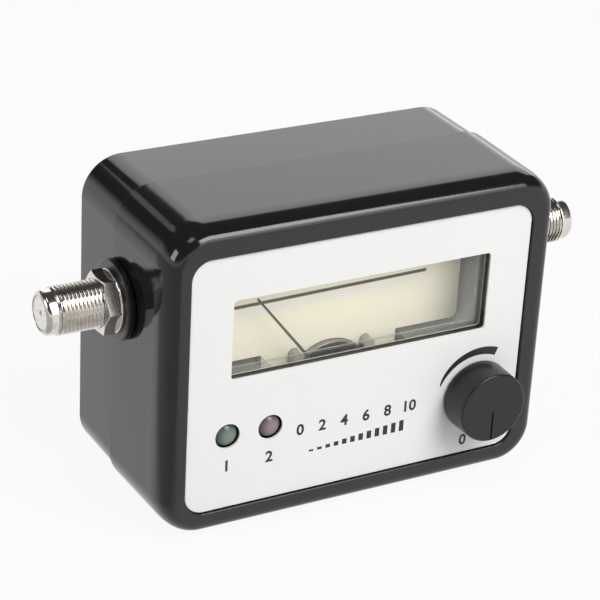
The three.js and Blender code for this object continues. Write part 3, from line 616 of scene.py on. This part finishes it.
def labelPlate():
    face, edge = sheet["face"], sheet["edge"]
    profile = ((edge, face), (0, face + edge), (0, sheet["back"]))
    rings = [insetRing(labelHalf.x, labelHalf.z, sheet["corner"], inset, depth) for inset, depth in profile]
    return shaped(stacked("label_sheet", rings, facePlace), *faceHoles(0, -overrun, housing["frontWall"]))


def inkLayer(name, outline):
    return slab(name, outline, sheet["face"] - ink["thickness"], sheet["face"] + ink["sink"], facePlace)


def gainArc():  # it widens from a point to a square end
    form = arcPrint
    inside, outside = [], []
    for i in range(form["sides"] + 1):
        share = i / form["sides"]
        angle = math.radians(form["start"] + (form["end"] - form["start"]) * share)
        width = (form["outer"] - form["inner"]) * max(share, form["point"]) ** form["bulge"]
        for path, radius in ((inside, form["inner"]), (outside, form["inner"] + width)):
            path.append((form["x"] + radius * math.cos(angle), form["z"] + radius * math.sin(angle)))
    return inkLayer("gainArc", inside + outside[::-1])


def levelBars():
    form = barPrint
    bars = []
    pitch = (form["right"] - form["left"]) / form["bars"]
    for i in range(form["bars"]):
        left = form["left"] + i * pitch
        height = form["low"] + (form["high"] - form["low"]) * i / (form["bars"] - 1)
        outline = rectangle(left, left + pitch * form["share"], form["bottom"], form["bottom"] + height)
        bars.append(inkLayer("levelBar", outline))
    return bars


def digits(text, x, z):  # plain numbers, centred on x and standing on z
    curve = bpy.data.curves.new("digits", "FONT")
    curve.body = text
    curve.align_x = "CENTER"
    curve.size = digitPrint["height"] * mm / digitPrint["heightShare"]
    curve.offset = digitPrint["bold"] * mm
    curve.extrude = (ink["thickness"] + ink["sink"]) / 2 * mm
    curve.resolution_u = digitPrint["curveSteps"]
    holder = linked("digits", curve)
    bpy.context.view_layer.update()
    mesh = bpy.data.meshes.new_from_object(holder.evaluated_get(bpy.context.evaluated_depsgraph_get()))
    bpy.data.objects.remove(holder)
    depth = sheet["face"] - (ink["thickness"] - ink["sink"]) / 2
    spot = facePlace @ Vector((x, depth, z)) * mm
    mesh.transform(Matrix.Translation(spot) @ Matrix.Rotation(quarter, 4, "X"))
    return linked("digits", mesh)


def labelPrint():
    marks = [gainArc(), *levelBars()]
    for number, node in enumerate(("lamp_green", "lamp_red"), 1):
        x, z = faceSpot(node)
        marks.append(digits(str(number), x, z - digitPrint["lampDrop"]))
    for i in range(digitPrint["scaleCount"]):
        x = digitPrint["scaleFrom"] + i * digitPrint["scaleStep"]
        marks.append(digits(str(2 * i), x, digitPrint["scaleZ"]))
    marks.append(digits(knobDigit["text"], knobDigit["x"], knobDigit["z"]))
    return joined("label_print", marks)


dressed(labelPlate(), labelWhite, "label", replaces=["front_label"])
dressed(labelPrint(), blackInk, "label", sharp=20)
print("label made")


# Meter

dialFront = boxOf("dial_plate")[0].y - front
movementPlace = turnPlace("needle_swing")
caseForm = {
    "halfWidth": 29.4, "floor": -1.25, "ceiling": 20.9, "wall": 1.2, "wellHalfWidth": 15.2,
    "wellFloor": -20.9, "wellWall": 1, "wellOverlap": 4.5, "corner": 1.5, "bodyFront": 2.75,
    "paneFront": 2.3, "paneThick": 0.8, "paneInset": 0.05, "paneLip": 0.7, "bevel": 0.2,
    "bevelSlopes": (0.3, 0.95), "back": 17.2,
}
paneEdges = {"wide": 0.17, "thick": 0.05, "frontInset": 0.02, "frontDepth": 2.26, "backInset": 0.62,
             "backDepth": 3.86}
dialForm = {"back": 11.4, "gap": 0.1, "hole": 9.3, "wellBottom": -6, "earGap": 0.1}
scaleLine = {"left": -27.5, "right": 14.9, "bottom": 14.3, "high": 0.68, "tilt": 0.55, "depth": 2.92}
# a painted shadow of the pane's scale line, lower on the dial
paintedScaleShadow = {"left": -29, "right": 20, "bottom": 8, "high": 0.75, "tilt": 0.62, "depth": dialFront - 0.02}
lineThickness = 0.03


def caseSolid(name, halfWidth, low, high, near, far):
    rings = [roundedRing(-halfWidth, halfWidth, low, high, caseForm["corner"], depth, steps["case"])
             for depth in (near, far)]
    return stacked(name, rings, meterPlace)


def caseSolids(widthGrow, wellGrow, near, far):  # the case and the well that goes down from it
    floor, ceiling = caseForm["floor"] - widthGrow, caseForm["ceiling"] + widthGrow
    wellFloor, wellTop = caseForm["wellFloor"] - wellGrow, floor + caseForm["wellOverlap"]
    return (
        caseSolid("caseUpper", caseForm["halfWidth"] + widthGrow, floor, ceiling, near, far),
        caseSolid("caseLower", caseForm["wellHalfWidth"] + wellGrow, wellFloor, wellTop, near, far),
    )


def paneBlock(*profile):  # a profile of (grow, depth)
    return stacked("paneBlock", [windowRing(grow, depth) for grow, depth in profile], facePlace)


def meterCase():  # pane, walls and bevelled edges have materials of their own: the walls' dense grey haze is painted shade, the bevels' bright haze a painted highlight
    bodyFront, wall, bevel = caseForm["bodyFront"], caseForm["wall"], caseForm["bevel"]
    inset, paneFront = caseForm["paneInset"], caseForm["paneFront"]
    lip, paneBack = inset - caseForm["paneLip"], paneFront + caseForm["paneThick"]
    roomFront, middle = bodyFront + wall, bodyFront + wall / 2
    case, well = caseSolids(wall, caseForm["wellWall"], bodyFront, caseForm["back"])
    roomUpper, roomLower = caseSolids(0, 0, roomFront, caseForm["back"] + overrun)
    case.name = "meter_cover"
    shaped(
        case,
        (add, well),
        (add, paneBlock((inset - bevel, paneFront), (inset, paneFront + bevel), (inset, middle))),
        (cut, roomUpper),
        (cut, roomLower),
        (cut, paneBlock((lip, paneBack), (lip, roomFront - bevel), (lip + bevel, roomFront),
                        (lip + bevel, roomFront + wall))),
    )
    limit = (front + paneBack + bevel) * mm
    flat, steep = caseForm["bevelSlopes"]
    paneIndex, wallIndex, edgeIndex = 0, 1, 2  # in the list of materials that the case is dressed in
    for polygon in case.data.polygons:
        if flat < abs(polygon.normal.y) < steep:
            polygon.material_index = edgeIndex
        else:
            polygon.material_index = paneIndex if polygon.center.y < limit else wallIndex
    return case


def paneEdge(name, inset, depth):  # a thin opaque ring round the window, bright as a painted highlight on the clear case's edge
    corners = rectangle(inset, inset + paneEdges["wide"], depth, depth + paneEdges["thick"])
    return stacked(name, [windowRing(-shrink, at) for shrink, at in corners], facePlace, loop=True)


def dialSheet():  # it fills the case and goes down into the well beside the movement
    far, gap = dialForm["back"], dialForm["gap"]
    floor, ceiling = caseForm["floor"] + gap, caseForm["ceiling"] - gap
    start, end = dialFront - overrun, far + overrun
    plate = caseSolid("dial_sheet", caseForm["halfWidth"] - gap, floor, ceiling, dialFront, far)
    tongue = caseSolid("dialTongue", caseForm["wellHalfWidth"] - gap, dialForm["wellBottom"],
                       floor + caseForm["wellOverlap"], dialFront, far)
    hole = cylinder("dialHole", dialForm["hole"], start, end, movementPlace)
    slots = [(cut, earSolid(side, dialForm["earGap"], start, end)) for side in (-1, 1)]
    return shaped(plate, (add, tongue), (cut, hole), *slots)


def strip(name, form):  # a thin line that climbs to the right
    left, right, low, tilt = form["left"], form["right"], form["bottom"], form["tilt"]
    high = low + form["high"]
    outline = [(left, low), (right, low + tilt), (right, high + tilt), (left, high)]
    return slab(name, outline, form["depth"], form["depth"] + lineThickness, facePlace)


def ringSolid(name, corners, place):
    return turned(name, softened(corners, loop=True), place, loop=True)


yokeForm = {"inner": 8.7, "outer": 9.2, "near": 9.5, "far": 16, "edge": 0.25}
carrierForm = {"inner": 9.95, "outer": 10.8, "near": 11.45, "far": 16, "edge": 0.2, "earX": 8, "earTop": 8.75,
               "earHalf": 1.1, "earFront": 8.6}
needleForm = {"length": 30, "half": 0.37, "near": 6.4, "thick": 0.25, "hub": 1.5, "hubCore": 0.2,
              "hubEdge": 0.15, "hubBack": 7.3, "tail": 4.6, "weight": 1.1, "hole": 0.45, "rest": -38.75,
              "tipShare": 0.6}


def sleeve(name, form):
    corners = rectangle(form["inner"], form["outer"], form["near"], form["far"])
    return ringSolid(name, [(radius, depth, form["edge"]) for radius, depth in corners], movementPlace)


def earSolid(side, grow, near, far):
    form = carrierForm
    x, half, top = side * form["earX"], form["earHalf"] + grow, form["earTop"] - form["earHalf"]
    outline = [(x - half, form["earHalf"]), (x + half, form["earHalf"])]
    for i in range(steps["corner"] + 1):
        angle = math.pi * i / steps["corner"]
        outline.append((x + half * math.cos(angle), top + half * math.sin(angle)))
    return slab("ear", outline, near, far, movementPlace)


def movementCarrier():
    form = carrierForm
    ears = [(add, earSolid(side, 0, form["earFront"], form["far"])) for side in (-1, 1)]
    bore = cylinder("bore", form["inner"], form["earFront"] - overrun, form["far"] + overrun, movementPlace)
    return shaped(sleeve("movement_frame", form), *ears, (cut, bore))


def needlePointer():
    form = needleForm
    place = movementPlace @ Matrix.Rotation(math.radians(form["rest"]), 4, "Y")
    near, far, half, tail = form["near"], form["near"] + form["thick"], form["half"], form["tail"]
    tip, hubBack, small = half * form["tipShare"], form["hubBack"], steps["small"]
    outline = [(-half, -tail), (half, -tail), (tip, form["length"]), (-tip, form["length"])]
    hub = softened([(form["hubCore"], near, 0), (form["hub"], near, form["hubEdge"]),
                    (form["hub"], hubBack, form["hubEdge"]), (form["hubCore"], hubBack, 0)])
    return shaped(
        slab("dial_needle", outline, near, far, place),
        (add, boxSolid("cross", -tail, tail, near, far, -half, half, place)),
        (add, turned("hub", hub, place, small)),
        (add, cylinder("weight", form["weight"], near, hubBack, place, small, z=-tail)),
        (cut, cylinder("hole", form["hole"], near - overrun, hubBack + overrun, place, small)),
    )


dressed(meterCase(), [clearPane, clearWallPaintedShade, clearEdgePaintedHighlight], "clear_plastic", replaces=["meter_case"], sharp=8)
# the bright rings round the window are painted highlights on the case's edges
for side in ("front", "back"):
    edge = paneEdge("pane_" + side + "_edge", paneEdges[side + "Inset"], paneEdges[side + "Depth"])
    dressed(edge, paintedEdgeHighlight, "clear_plastic")
dressed(dialSheet(), creamDial, "dial", replaces=["dial_plate"], sharp=20)
dressed(strip("pane_scale_line", scaleLine), greyInk, "dial")
# the pale line on the dial is a painted shadow of the scale line on the pane
dressed(strip("dial_painted_scale_shadow", paintedScaleShadow), paintedShadowInk, "dial")
dressed(sleeve("movement_yoke", yokeForm), drawnSteel, "steel", replaces=["yoke_ring"])
dressed(movementCarrier(), frostedPlastic, "frosted_plastic", replaces=["movement_carrier"])
dressed(needlePointer(), needlePaint, "needle", "pointer", replaces=["needle"])
print("meter made")


# Knob

knobForm = {
    "base": 7.55, "cap": 7.4, "baseDepth": 0.15, "baseEdge": 0.25, "capDepth": boxOf("knob")[0].y - front,
    "capEdge": 0.45, "capWall": 1.6, "skirt": 1.3, "hub": 4.3, "bore": 3.05, "markHalf": 0.2,
    "markDepth": 0.3, "markInset": 0.5, "markLength": 6,
}


def knobCap():
    form = knobForm
    place = turnPlace("knob_turn")
    cap, base = form["capDepth"], form["baseDepth"]
    inside = cap + form["capWall"]
    profile = softened([
        (form["cap"] / 2, cap, 0),
        (form["cap"], cap, form["capEdge"]),
        (form["base"], base, form["baseEdge"]),
        (form["cap"] / 2, base, 0),
    ], sides=steps["cap"])
    hollow = rectangle(form["hub"], form["cap"] - form["skirt"], inside, base + overrun)
    outerEnd = form["markInset"] - form["cap"]
    mark = boxSolid("mark", -form["markHalf"], form["markHalf"], cap - overrun, cap + form["markDepth"],
                    outerEnd, outerEnd + form["markLength"], place)
    return shaped(
        turned("gain_knob", profile, place),
        (cut, turned("hollow", hollow, place, loop=True)),
        (cut, cylinder("bore", form["bore"], inside, base + overrun, place)),
        (cut, mark),
    )


dressed(knobCap(), blackKnob, "black_plastic", "knob", replaces=["knob"])
print("knob made")


# Lamps

lampForm = {"radius": 2.5, "domeHeight": 1.8, "front": 0.05, "body": 7, "rim": 2.85, "rimThick": 1,
            "lead": 0.25, "pitch": 1.27, "leadReach": 20.7}
# each lamp's tint at the heart of its lens, then the darker painted shade at its rim
lampTintsAndRimShades = {"lamp_green": ("76827a", "3f4642"), "lamp_red": ("8f7c82", "4b4145")}


def lampPiece(node):
    form = lampForm
    radius, body, rim, half = form["radius"], form["body"], form["rim"], form["lead"]
    x, z = faceSpot(node)
    place = facePlace @ Matrix.Translation((x, 0, z))
    dome = bend(steps["edge"])[1:]
    profile = [(radius * (1 - fall), form["front"] + form["domeHeight"] * rise) for rise, fall in dome]
    profile += [(radius, body), (rim, body), (rim, body + form["rimThick"])]
    leads = []
    for middle in (-form["pitch"], form["pitch"]):
        lead = boxSolid("lead", middle - half, middle + half, body, form["leadReach"], -half, half, place)
        leads.append((add, lead))
    lens = shaped(turned(node + "_lens", profile, place), *leads)
    finish = lampLens(node + "Finish", *lampTintsAndRimShades[node], middleOf(node), radius)
    dressed(lens, finish, node.replace("lamp_", "") + "_lamp", replaces=[node])


for lampNode in lampTintsAndRimShades:
    lampPiece(lampNode)
print("lamps made")


# Ports, drawn outwards from the wall

portForm = {
    "reach": 16.25, "thread": 4.7625, "pitch": 0.79375, "threadDepth": 0.44, "threadEnd": 13.6, "nose": 4.4,
    "noseBend": 0.3, "noseEdge": 0.95, "bore": 3.4, "mouthEdge": 0.12, "flange": 6.5, "flangeThick": 2,
    "shoulder": 4, "shoulderLength": 3, "ringsPerTurn": 10, "runout": 0.8,
}
washerForm = {"inner": 4.81, "outer": 7.95, "seat": 7.7, "rise": 0.3, "thick": 1.6, "edge": 0.3,
              "smallEdge": 0.1}
nutForm = {"sides": 6, "flats": 11, "thick": 2.7, "chamfer": 0.55, "bore": 4.81, "bevel": 0.07,
           "bevelAngle": 28, "bevelSteps": 2}
collarForm = {"inner": 4, "outer": 6.3, "thick": 0.7, "lowEdge": 0.15, "topEdge": 0.25}
tipForm = {"insulatorRadius": 3.35, "sunk": 0.15, "edge": 0.1, "hole": 0.55, "holeEdge": 0.25, "contact": 0.4,
           "contactEdge": 0.2, "contactSunk": 0.5, "tail": 5.5}
barrelBack = -housing["wall"] - portForm["flangeThick"] - portForm["shoulderLength"]


def barrelSolid(name, place):
    form = portForm
    threadEnd, sides, inner = form["threadEnd"], steps["round"], -housing["wall"]
    flangeBack = inner - form["flangeThick"]
    rings = [circle(radius, depth, sides) for radius, depth in (
        (form["bore"], barrelBack),
        (form["shoulder"], barrelBack),
        (form["shoulder"], flangeBack),
        (form["flange"], flangeBack),
        (form["flange"], inner),
    )]
    count = round((threadEnd - inner) / form["pitch"] * form["ringsPerTurn"])
    for i in range(count + 1):
        depth = inner + (threadEnd - inner) * i / count
        fade = min(1, (threadEnd - depth) / form["runout"])
        ring = []
        for k in range(sides):
            phase = (depth / form["pitch"] - k / sides) % 1
            groove = math.sin(math.pi * phase) ** 2 * fade
            radius = form["thread"] - form["threadDepth"] * groove
            angle = 2 * math.pi * k / sides
            ring.append((radius * math.cos(angle), depth, radius * math.sin(angle)))
        rings.append(ring)
    relief = form["thread"] - form["nose"]
    nose = softened([
        (form["thread"], threadEnd, 0),
        (form["nose"], threadEnd + relief, form["noseBend"]),
        (form["nose"], form["reach"], form["noseEdge"]),
        (form["bore"], form["reach"], form["mouthEdge"]),
        (form["bore"], barrelBack, 0),
    ], sides=steps["nose"])
    rings += [circle(radius, depth, sides) for radius, depth in nose[1:-1]]
    return stacked(name, rings, place, loop=True)


def nutSolid(name, place):
    form, rim = nutForm, collarForm
    start = washerForm["thick"]
    collarTop = start + rim["thick"]
    top = collarTop + form["thick"]
    across = form["flats"] / 2 / math.cos(math.pi / form["sides"])
    cone = [(across, start), (across, top - form["chamfer"]), (form["flats"] / 2 - form["chamfer"] / 2, top)]
    collar = softened([(rim["inner"], start, 0), (rim["outer"], start, rim["lowEdge"]),
                       (rim["outer"], collarTop, rim["topEdge"]), (rim["inner"], collarTop, 0)])
    nut = shaped(
        cylinder(name, across, start, top, place, form["sides"]),
        ("INTERSECT", turned("cone", cone, place)),
        (add, turned("collar", collar, place)),
        (cut, cylinder("bore", form["bore"], start - overrun, top + overrun, place)),
    )
    bevel = nut.modifiers.new("edges", "BEVEL")
    bevel.width = form["bevel"] * mm
    bevel.segments = form["bevelSteps"]
    bevel.limit_method = "ANGLE"
    bevel.angle_limit = math.radians(form["bevelAngle"])
    return nut


def portPieces(side, prefix):
    place = portPlace(side, prefix + "_port_barrel")
    form, small = washerForm, washerForm["smallEdge"]
    washer = ringSolid(prefix + "_washer", [
        (form["inner"], 0, 0),
        (form["seat"], 0, small),
        (form["seat"], form["rise"], small),
        (form["outer"], form["rise"], small),
        (form["outer"], form["thick"], form["edge"]),
        (form["inner"], form["thick"], small),
    ], place)
    form, edge = tipForm, tipForm["edge"]
    reach, tailEnd = portForm["reach"], barrelBack - form["tail"]
    end, contactEnd = reach - form["sunk"], reach - form["contactSunk"]
    insulator = ringSolid(prefix + "_insulator", [
        (form["hole"], barrelBack, 0),
        (form["insulatorRadius"], barrelBack, 0),
        (form["insulatorRadius"], end, edge),
        (form["hole"], end, form["holeEdge"]),
    ], place)
    contact = softened([
        (core, tailEnd, 0),
        (form["contact"], tailEnd, edge),
        (form["contact"], contactEnd, form["contactEdge"]),
        (core, contactEnd, 0),
    ])
    rows = (
        (barrelSolid(prefix + "_barrel", place), brightNickel, "nickel", "barrel"),
        (nutSolid(prefix + "_nut", place), brightNickel, "nickel", "nut"),
        (washer, blackWasher, "dark_plastic", "washer"),
        (insulator, whiteInsulator, "white_insulator", "insulator"),
        (turned(prefix + "_contact", contact, place, steps["small"]), brightNickel, "nickel", "contact"),
    )
    for piece, finish, slot, node in rows:
        dressed(piece, finish, slot, replaces=[prefix + "_port_" + node])


portPieces(-1, "left")
portPieces(1, "right")
print("ports made")


# Housing screws in their deep holes

screwForm = {"head": 2.5, "headHeight": 1.8, "headEdge": 0.1, "shank": 1.1, "tipEdge": 0.3, "slot": 0.32,
             "slotReach": 1.3, "slotDepth": 0.9, "dome": 0.55}


def housingScrew(node):
    form = screwForm
    low, high = boxOf(node)
    middle = (low + high) / 2
    place = Matrix.Translation((middle.x, high.y, middle.z))
    height = form["headHeight"]
    profile = softened([
        (core, low.y - high.y, 0),
        (form["shank"], low.y - high.y + form["shank"], form["tipEdge"]),
        (form["shank"], -height, 0),
        (form["head"], -height, form["headEdge"]),
        (form["head"], 0, form["dome"]),
        (core, 0, 0),
    ])
    half, reach = form["slot"], form["slotReach"]
    slots = [(cut, boxSolid("slot", -x, x, -form["slotDepth"], overrun, -z, z, place))
             for x, z in ((reach, half), (half, reach))]
    return shaped(turned(node + "_head", profile, place, steps["small"]), *slots)


screwCorners = ("upper_left", "upper_right", "lower_left", "lower_right")
for corner in screwCorners:
    screwNode = "housing_screw_" + corner
    dressed(housingScrew(screwNode), drawnSteel, "steel", replaces=[screwNode])
print("screws made")


# Pieces whose shape is right as packed

keptPieces = (
    (darkPlastic, ["meter_base", "filter_capacitor_a", "filter_capacitor_b", "amplifier_chip",
                   "potentiometer"]),
    (magnetAlloy, ["core_magnet"]),
    (blackenedIron, ["front_bridge"]),
    (brightNickel, ["pivot_screw", "meter_terminal_left", "meter_terminal_right"]),
    (copperWinding, ["moving_coil", "hairspring"]),
    (greenBoard, ["circuit_board"]),
    (tinPlate, ["shield_can"]),
    (drawnSteel, ["bridge_screw_left", "bridge_screw_right", "spindle", "knob_shaft",
                  *["board_screw_" + corner for corner in screwCorners]]),
)
for finish, nodes in keptPieces:
    for node in nodes:
        data = frame["nodes"][node].data
        data.materials.clear()
        data.materials.append(finish)
print("kept pieces finished")


# Camera, floor and lights

# focal is in pixels of the frame, whose side is given in pixels too
shot = {"place": (-204.15, -347.06, 233.58), "yaw": 29.828, "pitch": 26.06, "roll": 3.246, "focal": 2262,
        "frame": 600, "sensor": 36, "clip": 10}
floorForm = {"half": 6000, "plain": 0.92, "matt": 0.65}  # plain is the share of even white in what is seen
# painted shade on the floor in front and to the left, seen only in glossy surfaces as a dark reflection;
# it fades in across a slanted line and along x
mirroredFloorShade = {"slant": (0.82, 0.57), "slantFrom": -42, "slantTo": -52, "sideFrom": -30, "sideTo": -55,
            "grey": 0.48}
skyForm = {"ambient": 0.2, "dark": 0.06, "fadeFrom": 0.1, "fadeTo": 0.28}
lampPower = 4  # what an area lamp of one square metre needs for a radiance of 1, in watts
# each soft box: its azimuth, elevation and distance, seen from the meter, then its width, height and level
softBoxes = {
    "keyHigh": (22, 49.4, 1100, 660, 530, 6),
    "keyMiddle": (22, 29, 1100, 660, 286, 2.4),
    "keyLow": (22, 16.4, 1100, 660, 264, 1.1),
    "sideLeft": (-100, 22, 1100, 400, 400, 4),
    "backRight": (150, 22, 1300, 1300, 760, 1.2),
    "backLeft": (-160.5, 33, 1300, 200, 120, 0.6),
    "tipFill": (-100, 20, 1100, 300, 300, 4),
    "overhead": (-84, 70, 1100, 420, 260, 1.8),
}
unmirrored = ["tipFill"]  # the soft boxes that no reflection shows
dialLight = {"depth": 4.4, "beyond": 2, "drop": 4, "shift": -6, "level": 0.62}


def addCamera():
    lens = bpy.data.cameras.new("camera")
    lens.sensor_width = shot["sensor"]
    lens.lens = shot["focal"] / shot["frame"] * shot["sensor"]
    lens.clip_start = shot["clip"] * mm
    camera = linked("camera", lens)
    yaw, pitch, roll = (math.radians(shot[name]) for name in ("yaw", "pitch", "roll"))
    ahead = Vector((math.sin(yaw) * math.cos(pitch), math.cos(yaw) * math.cos(pitch), -math.sin(pitch)))
    level = Vector((math.cos(yaw), -math.sin(yaw), 0))
    upright = level.cross(ahead)
    right = math.cos(roll) * level + math.sin(roll) * upright
    up = math.cos(roll) * upright - math.sin(roll) * level
    turn = Matrix((right, up, -ahead)).transposed().to_4x4()
    camera.matrix_world = Matrix.Translation(Vector(shot["place"]) * mm) @ turn
    bpy.context.scene.camera = camera


def grey(level):
    return (level, level, level, 1)


def addFloor():
    half = floorForm["half"]
    corners = [(x, y, 0) for x, y in rectangle(-half, half, -half, half)]
    floor = solidFrom("floor", corners, [(0, 1, 2, 3)], Matrix.Identity(4))
    finish = Finish("floorWhite")
    camera, glossy, through = finish.rays("Camera", "Glossy", "Transmission")
    x, y, _ = finish.axes()
    slantX, slantY = mirroredFloorShade["slant"]
    shadeAcrossSlant = (slantX * x + slantY * y).between(mirroredFloorShade["slantFrom"] * mm, mirroredFloorShade["slantTo"] * mm)
    shadeAlongX = x.between(mirroredFloorShade["sideFrom"] * mm, mirroredFloorShade["sideTo"] * mm)
    # the painted shade of the floor, only for glossy rays
    shade = finish.mix(shadeAcrossSlant * shadeAlongX * glossy, grey(1), grey(mirroredFloorShade["grey"]))
    plain = (camera + glossy + through).between(0, 1) * floorForm["plain"]
    matt = finish.node("ShaderNodeBsdfDiffuse", None, {"Color": grey(floorForm["matt"])})
    glow = finish.node("ShaderNodeEmission", None, {"Color": shade, "Strength": 1.0})
    floor.data.materials.append(finish.show(finish.blend(plain, matt, glow)))


def areaLamp(name, wide, high, level):
    lamp = bpy.data.lights.new(name, "AREA")
    lamp.shape = "RECTANGLE"
    lamp.size, lamp.size_y = wide * mm, high * mm
    lamp.energy = lampPower * level * lamp.size * lamp.size_y
    return linked(name, lamp)


def addLights():
    target = Vector((0, 0, housing["halfHeight"]))
    for name, (azimuth, elevation, distance, wide, high, level) in softBoxes.items():
        azimuth, elevation = math.radians(azimuth), math.radians(elevation)
        flat = math.cos(elevation)
        away = Vector((math.sin(azimuth) * flat, -math.cos(azimuth) * flat, math.sin(elevation)))
        holder = areaLamp(name, wide, high, level)
        holder.location = (target + away * distance) * mm
        holder.rotation_euler = away.to_track_quat("Z", "Y").to_euler()
        holder.visible_camera = False
        holder.visible_glossy = name not in unmirrored
    addDialLight()


def addDialLight():  # a panel behind the window's pane, so that the dial is lit as evenly as the label
    form, edge = dialLight, 2 * dialLight["beyond"]
    left, right, bottom, top = (window[side] for side in ("left", "right", "bottom", "top"))
    holder = areaLamp("dialPanel", right - left + edge, top - bottom + edge, form["level"])
    middle = Vector((form["shift"], form["depth"], (bottom + top) / 2 - form["drop"]))
    holder.location = facePlace @ middle * mm
    holder.rotation_euler = (quarter, 0, 0)
    for kind in ("camera", "glossy", "transmission"):
        setattr(holder, "visible_" + kind, False)


def addWorld():
    # white for the camera; in reflections white only near the horizon and dark above, like a studio's ceiling
    sky = Finish("studio", bpy.data.worlds)
    bpy.context.scene.world = sky.material
    camera, glossy, through = sky.rays("Camera", "Glossy", "Transmission")
    direction = sky.outputs("ShaderNodeTexCoord", "Generated")[0]
    height = sky.node("ShaderNodeSeparateXYZ", None, {0: direction}, output="Z")
    dark, horizon = skyForm["dark"], height.between(skyForm["fadeTo"], skyForm["fadeFrom"])
    mirrored = dark + (1 - dark) * horizon
    plain = (camera + through).between(0, 1)
    other = (1 - plain) * ((1 - glossy) * skyForm["ambient"] + glossy * mirrored)
    glow = sky.node("ShaderNodeBackground", None, {"Color": grey(1), "Strength": plain + other})
    sky.node("ShaderNodeOutputWorld", None, {"Surface": glow})


addCamera()
addFloor()
addLights()
addWorld()
bpy.context.scene.view_settings.view_transform = "Standard"
print("scene set")
